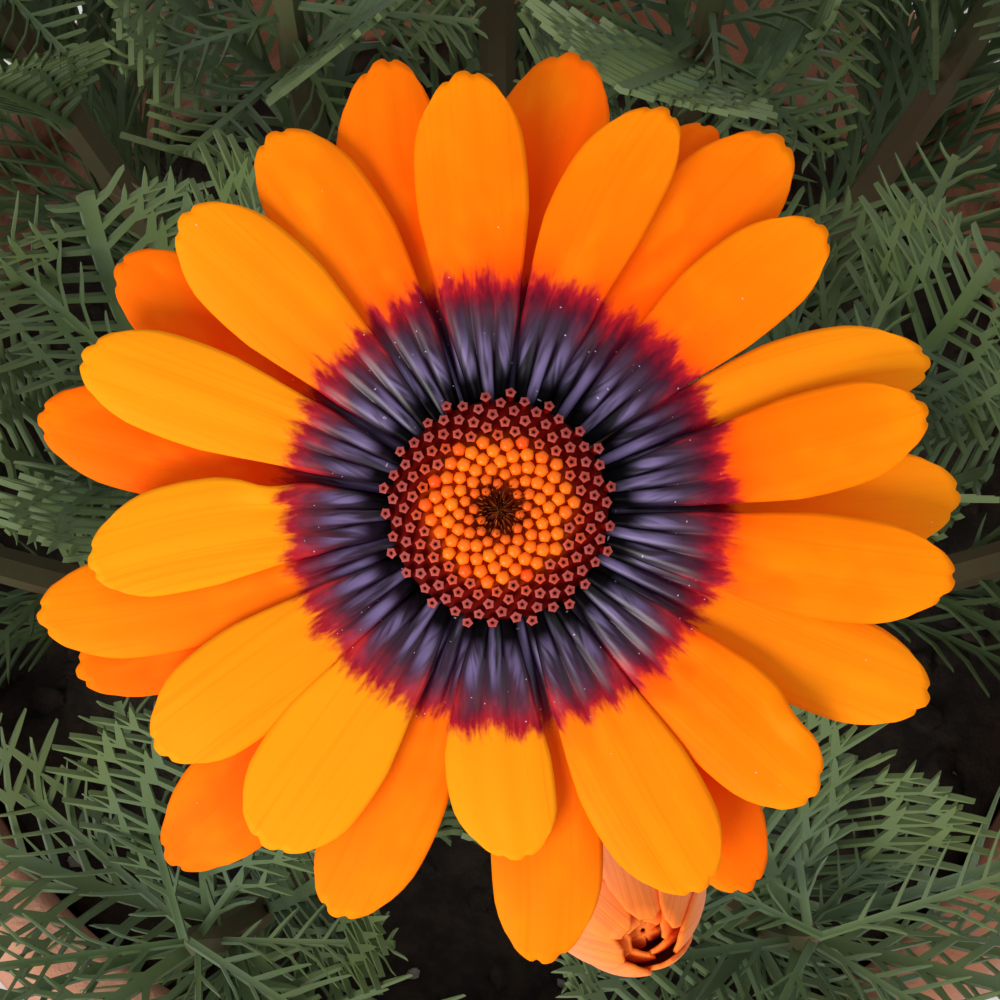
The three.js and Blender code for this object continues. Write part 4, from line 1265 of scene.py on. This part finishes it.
def bristle_blank():
    """A pointed scale from the middle of the disc."""
    blank = new_blank("bristle", "cone", (0, 0, 0.4), vertices=6, radius1=0.1, radius2=0.025, depth=0.8)
    give_trait(blank.data, "height_share", points_of(blank.data)[:, 2] / 0.8)
    return blank


def disc_height(distance):
    """Height of the domed disc over its head's collar."""
    return DISC_FOOT + DISC_DOME * (1 - 0.55 * (distance / DISC_RADIUS) ** 2)


def floret_move(head, distance, angle, spin, size, sink, lean):
    """Stands a floret on the dome, leaning outward with the dome's slope."""
    outward = math.radians(14) * distance / DISC_RADIUS + lean
    foot = (distance * math.cos(angle), distance * math.sin(angle), disc_height(distance) - sink)
    stand = Matrix.Translation(foot) @ Matrix.Rotation(angle, 4, "Z") @ Matrix.Rotation(outward, 4, "Y")
    matrix = np.array(stand @ Matrix.Rotation(spin - angle, 4, "Z") @ Matrix.Scale(size, 4))
    return lambda points: on_head(head, points @ matrix[:3, :3].T + matrix[:3, 3])


def add_florets(head, radius, count, blanks, kinds, draw):
    """Open stars outside and buds within, in spirals round an empty heart."""
    for number in range(count):
        distance = radius * DISC_SPREAD * ((number + 0.5) / count) ** 0.6
        if distance < DISC_HEART:
            continue
        share = distance / radius
        is_bud = distance + draw.uniform(-0.3, 0.3) < BUD_ZONE * radius
        kind = "bud" if is_bud else "open"
        size = lerp(0.78, 1.14, smooth(0.15, 0.45, share)) if is_bud else 0.95
        sink = 0.08 - 0.35 * share if is_bud else -0.22
        spin = draw.uniform(0, 6.28)
        size *= draw.uniform(0.95, 1.05)
        lean = draw.uniform(-0.06, 0.06) + 0.25 * smooth(0.85, 1, share)
        move = floret_move(head, distance, number * GOLDEN_ANGLE, spin, size, sink, lean)
        warmth = smooth(0.5, 0.66, share) if is_bud else 1 - smooth(0.66, 0.88, share)
        nearness = 1 - smooth(0.2, 0.42, share)
        kinds[kind].append(copy_of(blanks[kind], move, tone=draw.random(), warmth=warmth, nearness=nearness))


def add_bristles(head, blank, parts, draw):
    """Bristles over the heart of the disc, lying lower and paler toward its edge."""
    for number in range(BRISTLES):
        distance = lerp(0.15, BRISTLE_ZONE, (number / BRISTLES) ** 0.8)
        outward = distance / BRISTLE_ZONE
        size = draw.uniform(0.7, 1.05)
        lean = -draw.uniform(0.2, 0.9)
        move = floret_move(head, distance, number * GOLDEN_ANGLE, 0.0, size, lerp(0.65, 0.15, outward), lean)
        parts.append(copy_of(blank, move, tone=outward**1.5 * draw.uniform(0.3, 1.2)))


def add_disc_bed(name, head, radius, material):
    """The domed bed that the florets stand in, with a dimple in its middle."""
    profile = [(radius * 0.93, DISC_FOOT - 0.6)]
    for share in (0.95, 0.88, 0.76, 0.62, 0.48, 0.34, 0.22, 0.1):
        profile.append((radius * share, disc_height(radius * share) - 0.35))
    bed = turned(f"{name}_disc_bed", profile, 36)
    points = points_of(bed.data)
    from_centre = np.hypot(points[:, 0], points[:, 1]) / radius
    give_trait(bed.data, "from_centre", from_centre)
    points[:, 2] -= 0.55 * (1 - smooth(0.05, 0.3, from_centre))
    set_points(bed.data, on_head(head, points) * MM)
    finish_piece(bed, [material], f"{name}_disc")


def add_disc(name, radius, count, blanks, materials):
    head = HEADS[name]
    draw = random.Random(count)
    kinds = {"open": [], "bud": [], "bristle": []}
    add_florets(head, radius, count, blanks, kinds, draw)
    add_bristles(head, blanks["bristle"], kinds["bristle"], draw)
    for kind, parts in kinds.items():
        piece = joined(f"{name}_disc_{kind}_florets", parts)
        finish_piece(piece, [materials[kind]], angle=50)
    add_disc_bed(name, head, radius, materials["bed"])


# Bracts and bud tips

def cup_radius(height):
    """Outside radius of the cup under a head, from its foot at -INVOLUCRE_DEPTH up to the collar."""
    return INVOLUCRE_RADIUS * np.interp(height / INVOLUCRE_DEPTH, CUP_HEIGHTS, CUP_RADII)


def bract_move(head, angle, foot, length, width, stand_off):
    """Wraps a bract blank round the cup, with its tip standing off."""

    def move(points):
        share = points[:, 1]
        height = foot + length * share
        radius = cup_radius(height) + stand_off + 0.25 * share**2 - points[:, 0] ** 2 * share
        swing = angle + points[:, 0] * width / np.maximum(radius, 3)
        return on_head(head, np.column_stack((radius * np.cos(swing), radius * np.sin(swing), height)))

    return move


def add_bracts(name, head, blank, materials):
    """The green cup and its overlapping rounds of bracts."""
    heights = [INVOLUCRE_DEPTH * share for share in (-1, -0.9, -0.82, -0.62, -0.42, -0.16, -0.13)]
    cup = turned("cup", [(float(cup_radius(height)) - 0.15, height) for height in heights], 32)
    shaped = copy_of(cup, lambda points: on_head(head, points), along_share=0.1, tone=0.5)
    drop(cup)
    draw = random.Random(len(name))
    parts = []
    closed = "bud" in name or "closing" in name
    for number, (foot, length, width) in enumerate(BRACT_ROUNDS + (BUD_ROUND,) * closed):
        full_width = width * FULL_ROUND / head.bracts
        for bract in range(head.bracts):
            angle = (bract + 0.5 * (number % 2) + draw.uniform(-0.08, 0.08)) / head.bracts * 2 * math.pi
            full_length = length * draw.uniform(0.92, 1.06)
            move = bract_move(head, angle, foot, full_length, full_width, 0.12 + 0.05 * number)
            parts.append(copy_of(blank, move, tone=draw.random()))
    bracts = joined(f"{name}_bracts", parts)
    apply_modifier(bracts, "SOLIDIFY", thickness=BRACT_THICKNESS * MM * head.size, offset=0)
    return finish_piece(joined(f"{name}_bracts", [bracts, shaped]), materials, angle=60)


def add_bud_petals(name, head, material):
    """The rolled petals that show at the top of a bud."""
    blank = turned("bud tip", BUD_PROFILE, 56)
    points = points_of(blank.data)
    angle = np.arctan2(points[:, 1], points[:, 0])
    radius = np.hypot(points[:, 0], points[:, 1])
    heights = points[:, 2].copy()
    blade = ((BUD_BLADES * angle + 0.22 * heights) / (2 * math.pi)) % 1
    squeeze = 1 - 0.16 * np.exp(-((np.minimum(blade, 1 - blade) / 0.12) ** 2)) + 0.05 * blade
    rolled = np.column_stack((points[:, 0] * squeeze, points[:, 1] * squeeze, heights - COLLAR_HALF_HEIGHT))
    traits = {"across_mm": radius * angle, "from_axis_mm": 15 + heights, "petal_seed": 0.3}
    piece = copy_of(blank, lambda _: on_head(head, rolled), **traits)
    drop(blank)
    piece = joined(f"{name}_rolled_petals", [piece])
    return finish_piece(piece, [material], f"{name}_petals")


# Pot and soil

def arc(centre, radius, start, end, steps):
    """Points on an arc about (radius, height), with its angles in degrees from outward."""
    angles = np.radians(np.linspace(start, end, steps))
    return [(centre[0] + radius * math.cos(a), centre[1] + radius * math.sin(a)) for a in angles]


def slope(start, end, shares):
    """Points on a straight line between two points of (radius, height)."""
    return [(lerp(start[0], end[0], share), lerp(start[1], end[1], share)) for share in shares]


def add_pot(material):
    rim_foot = POT_HEIGHT - RIM_HEIGHT
    lean = (RIM_TOP_RADIUS - RIM_LOW_RADIUS) / RIM_HEIGHT
    profile = [(POT_FOOT_RADIUS * share, 0) for share in (0.15, 0.5, 0.8)]
    profile += arc((POT_FOOT_RADIUS - 1.5, 1.5), 1.5, -90, -8, 5)
    side = np.linspace(0.06, 0.98, 14)
    profile += slope((POT_FOOT_RADIUS, 1.5), (POT_BODY_TOP_RADIUS, rim_foot - 1), side)
    profile += arc((POT_BODY_TOP_RADIUS + 1.1, rim_foot - 1.3), 1.1, 176, 92, 4)
    profile += arc((RIM_LOW_RADIUS - 1.6, rim_foot + 1.6), 1.6, -90, -5, 5)
    profile += [(RIM_LOW_RADIUS + lean * rise, rim_foot + rise) for rise in (5, 9, 13)]
    profile += arc((RIM_TOP_RADIUS - 2.6, POT_HEIGHT - 2.6), 2.6, 3, 90, 7)
    profile += arc((POT_MOUTH_RADIUS + 2, POT_HEIGHT - 2), 2, 90, 180, 6)
    inside = np.linspace(0.06, 1, 12)
    profile += slope((POT_MOUTH_RADIUS, POT_HEIGHT - 2), (POT_FLOOR_RADIUS, POT_FLOOR), inside)
    profile += [(POT_FLOOR_RADIUS * share, POT_FLOOR) for share in (0.8, 0.5, 0.15)]
    pot = turned("clay_pot", profile, 112)
    for hole in range(DRAIN_HOLES):
        angle = math.radians(90 + hole * 360 / DRAIN_HOLES)
        place = (DRAIN_HOLE_PITCH_RADIUS * math.cos(angle), DRAIN_HOLE_PITCH_RADIUS * math.sin(angle), 0)
        sizes = {"vertices": 32, "radius": DRAIN_HOLE_RADIUS, "depth": 3 * POT_FLOOR}
        bpy.ops.mesh.primitive_cylinder_add(location=place, **sizes)
        drill = bpy.context.active_object
        apply_modifier(pot, "BOOLEAN", operation="DIFFERENCE", solver="EXACT", object=drill)
        drop(drill)
    points = points_of(pot.data)
    angle = np.arctan2(points[:, 1], points[:, 0])
    wobble = 1 + 0.0022 * np.sin(3 * angle + 0.05 * points[:, 2])
    wobble += 0.0012 * np.sin(0.55 * points[:, 2] + 2 * angle)
    points[:, :2] *= wobble[:, None]
    set_points(pot.data, points * MM)
    return finish_piece(pot, [material], "pot", angle=40)


def soil_relief(x, y):
    broad = np.sin(0.31 * x + 0.9) * np.cos(0.27 * y) + 0.5 * np.sin(0.52 * y - 0.44 * x)
    fine = 0.35 * np.sin(1.7 * x + 0.6 * y) * np.sin(1.3 * y - 0.7 * x)
    finest = 0.2 * np.sin(3.1 * x) * np.sin(2.9 * y)
    return SOIL_BUMP * (broad + (fine + finest))


def pot_inside(height):
    return lerp(POT_FLOOR_RADIUS, POT_MOUTH_RADIUS, (height - POT_FLOOR) / (POT_HEIGHT - 2 - POT_FLOOR))


def add_soil(material):
    low = POT_FLOOR + SOIL_FOOT_GAP
    profile = [(8, low)]
    profile += [(pot_inside(height) - SOIL_SIDE_GAP, height) for height in (low, 25, 45, 65, 76, 79)]
    profile += [(radius, SOIL_TOP) for radius in np.linspace(pot_inside(SOIL_TOP) - 1.2, 1.5, 34)]
    soil = turned("potting_soil", profile, 96)
    points = points_of(soil.data)
    on_top = points[:, 2] > SOIL_TOP - 0.5
    points[:, 2] += on_top * soil_relief(points[:, 0], points[:, 1])
    set_points(soil.data, points * MM)
    return finish_piece(soil, [material], "soil")


def add_crumbs(name, count, sizes, seed, material):
    """Crumbs strewn over the soil."""
    blank = new_blank("crumb", "sphere", subdivisions=2, radius=1)
    draw = random.Random(seed)
    points = points_of(blank.data)
    parts = []
    for _ in range(count):
        size = draw.uniform(*sizes)
        distance = (pot_inside(SOIL_TOP) - 2.5) * math.sqrt(draw.random())
        angle = draw.uniform(0, 2 * math.pi)
        x, y = distance * math.cos(angle), distance * math.sin(angle)
        turn = np.array(Matrix.Rotation(draw.uniform(0, 6.28), 3, Vector((draw.random(), draw.random(), 1))))
        squash = np.array((1, draw.uniform(0.6, 0.9), draw.uniform(0.45, 0.8)))
        furrows = np.array((draw.random(), draw.random(), 1))
        lumps = 1 + 0.22 * np.sin(5 * points @ furrows + draw.uniform(0, 6))
        place = np.array((x, y, SOIL_TOP + float(soil_relief(x, y)) + 0.15 * size))
        shaped = (points * lumps[:, None] * squash * size) @ turn.T + place
        parts.append(copy_of(blank, lambda _, shaped=shaped: shaped))
    drop(blank)
    return finish_piece(joined(name, parts), [material], angle=60)


# Stage

def add_camera():
    head = head_matrix(HEADS["main_bloom"])
    right, up, back = (head.col[i].to_3d().normalized() for i in range(3))
    pixel = FRAME_WIDTH / PICTURE_SIDE
    middle = PICTURE_SIDE / 2
    place = head @ Vector((0, 0, 1.2)) + back * CAMERA_DISTANCE
    place += right * (middle - BLOOM_PIXEL[0]) * pixel + up * (BLOOM_PIXEL[1] - middle) * pixel
    data = bpy.data.cameras.new("camera")
    data.sensor_width = SENSOR_WIDTH
    data.lens = SENSOR_WIDTH * CAMERA_DISTANCE / FRAME_WIDTH
    data.clip_start = 0.01
    data.clip_end = 20
    camera = bpy.data.objects.new("camera", data)
    bpy.context.scene.collection.objects.link(camera)
    camera.matrix_world = Matrix.Translation(place * MM) @ Matrix((right, up, back)).transposed().to_4x4()
    bpy.context.scene.camera = camera


def add_light(name, toward, distance, side, power, colour):
    """A square soft light that looks at the plant's middle from a direction."""
    data = bpy.data.lights.new(name, "AREA")
    data.energy = power
    data.size = side
    data.color = colour
    light = bpy.data.objects.new(name, data)
    bpy.context.scene.collection.objects.link(light)
    direction = Vector(toward).normalized()
    light.location = LIT_MIDDLE + direction * distance
    light.rotation_euler = direction.to_track_quat("Z", "Y").to_euler()


def add_stage(material):
    floor = new_blank("floor", "plane", size=6)
    floor.data.materials.append(material)
    world = bpy.data.worlds.new("soft studio")
    world.use_nodes = True
    sky = world.node_tree.nodes["Background"].inputs
    sky["Color"].default_value = (0.88, 0.93, 1.0, 1)
    sky["Strength"].default_value = 0.55
    bpy.context.scene.world = world
    bpy.context.scene.view_settings.view_transform = "Standard"
    add_light("key", (-0.48, -0.76, 0.46), 1.2, 0.6, 13, (1.0, 0.98, 0.94))
    add_light("fill", (0.8, -0.3, 0.7), 1.4, 0.9, 2.5, (0.94, 0.97, 1.0))
    add_light("rim", (0.1, 0.9, 0.5), 1.4, 0.8, 2, (1.0, 1.0, 1.0))


# The whole plant

def add_pot_and_soil(mottle, grain):
    add_pot(clay_material(mottle, grain))
    peat = soil_material(mottle, grain, "dark peat", (0.018, 0.011, 0.007), (0.050, 0.030, 0.018))
    add_soil(peat)
    add_crumbs("soil_crumbs", *CRUMBS, peat)
    grit = soil_material(mottle, grain, "pale grit", (0.420, 0.390, 0.330), (0.250, 0.220, 0.180))
    add_crumbs("soil_grit", *GRIT, grit)


def add_foliage(mottle, grain):
    leaf = leaf_material(mottle, grain)
    stalk = stalk_material(mottle, grain)
    full = leaf_blank("full leaf", 10, True)
    young = leaf_blank("young leaf", 7, False)
    stem_rod = stalk_blank("stem rod", 24, 0.12)
    stalk_rod = stalk_blank("stalk rod", 48, 0.1)
    for number, stem in enumerate(STEMS):
        add_leaves(number, stem, full, young, leaf)
        add_stem(number, stem, stem_rod, stalk_rod, stalk)
    drop(full, young, stem_rod, stalk_rod)


def add_all_petals(materials):
    fine = petal_blank("fine petal", 20, 36, PETAL_OUTLINE)
    plain = petal_blank("plain petal", 12, 24, PETAL_OUTLINE)
    cupped = petal_blank("cupped petal", 10, 20, CLOSING_OUTLINE)
    add_petals("main_bloom", fine, MAIN_RAYS, materials, CURLS, PAINTED_LIGHT_RAYS)
    for name, (front_seed, back_seed) in PLAIN_SEEDS.items():
        add_petals(name, plain, front_rays(front_seed) + back_rays(back_seed), materials, {}, {})
    add_closing_petals("closing_bloom", cupped, materials[::-1])
    drop(fine, plain, cupped)


def add_all_discs(grain):
    blanks = {"open": open_floret_blank(), "bud": floret_bud_blank(), "bristle": bristle_blank()}
    materials = {
        "open": open_floret_material(),
        "bud": floret_bud_material(),
        "bristle": centre_material(),
        "bed": disc_bed_material(grain),
    }
    for name in ("main_bloom", "bloom_2", "bloom_3"):
        add_disc(name, DISC_RADIUS, FLORETS, blanks, materials)
    add_disc("closing_bloom", CLOSING_DISC_RADIUS, CLOSING_FLORETS, blanks, materials)
    drop(*blanks.values())


def main():
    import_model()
    streaks = streaks_group()
    mottle = mottle_group()
    grain = grain_group()

    add_pot_and_soil(mottle, grain)
    add_foliage(mottle, grain)
    petal_materials = [petal_face_material(streaks, specks_group()), petal_back_material(streaks)]
    add_all_petals(petal_materials)
    add_all_discs(grain)
    bract = petal_blank("bract", 6, 8, BRACT_OUTLINE)
    bract_materials = [bract_material(streaks)]
    for name, head in HEADS.items():
        add_bracts(name, head, bract, bract_materials)
        if name.startswith("bud"):
            add_bud_petals(name, head, petal_materials[1])
    drop(bract)

    add_camera()
    add_stage(floor_material(mottle))


main()
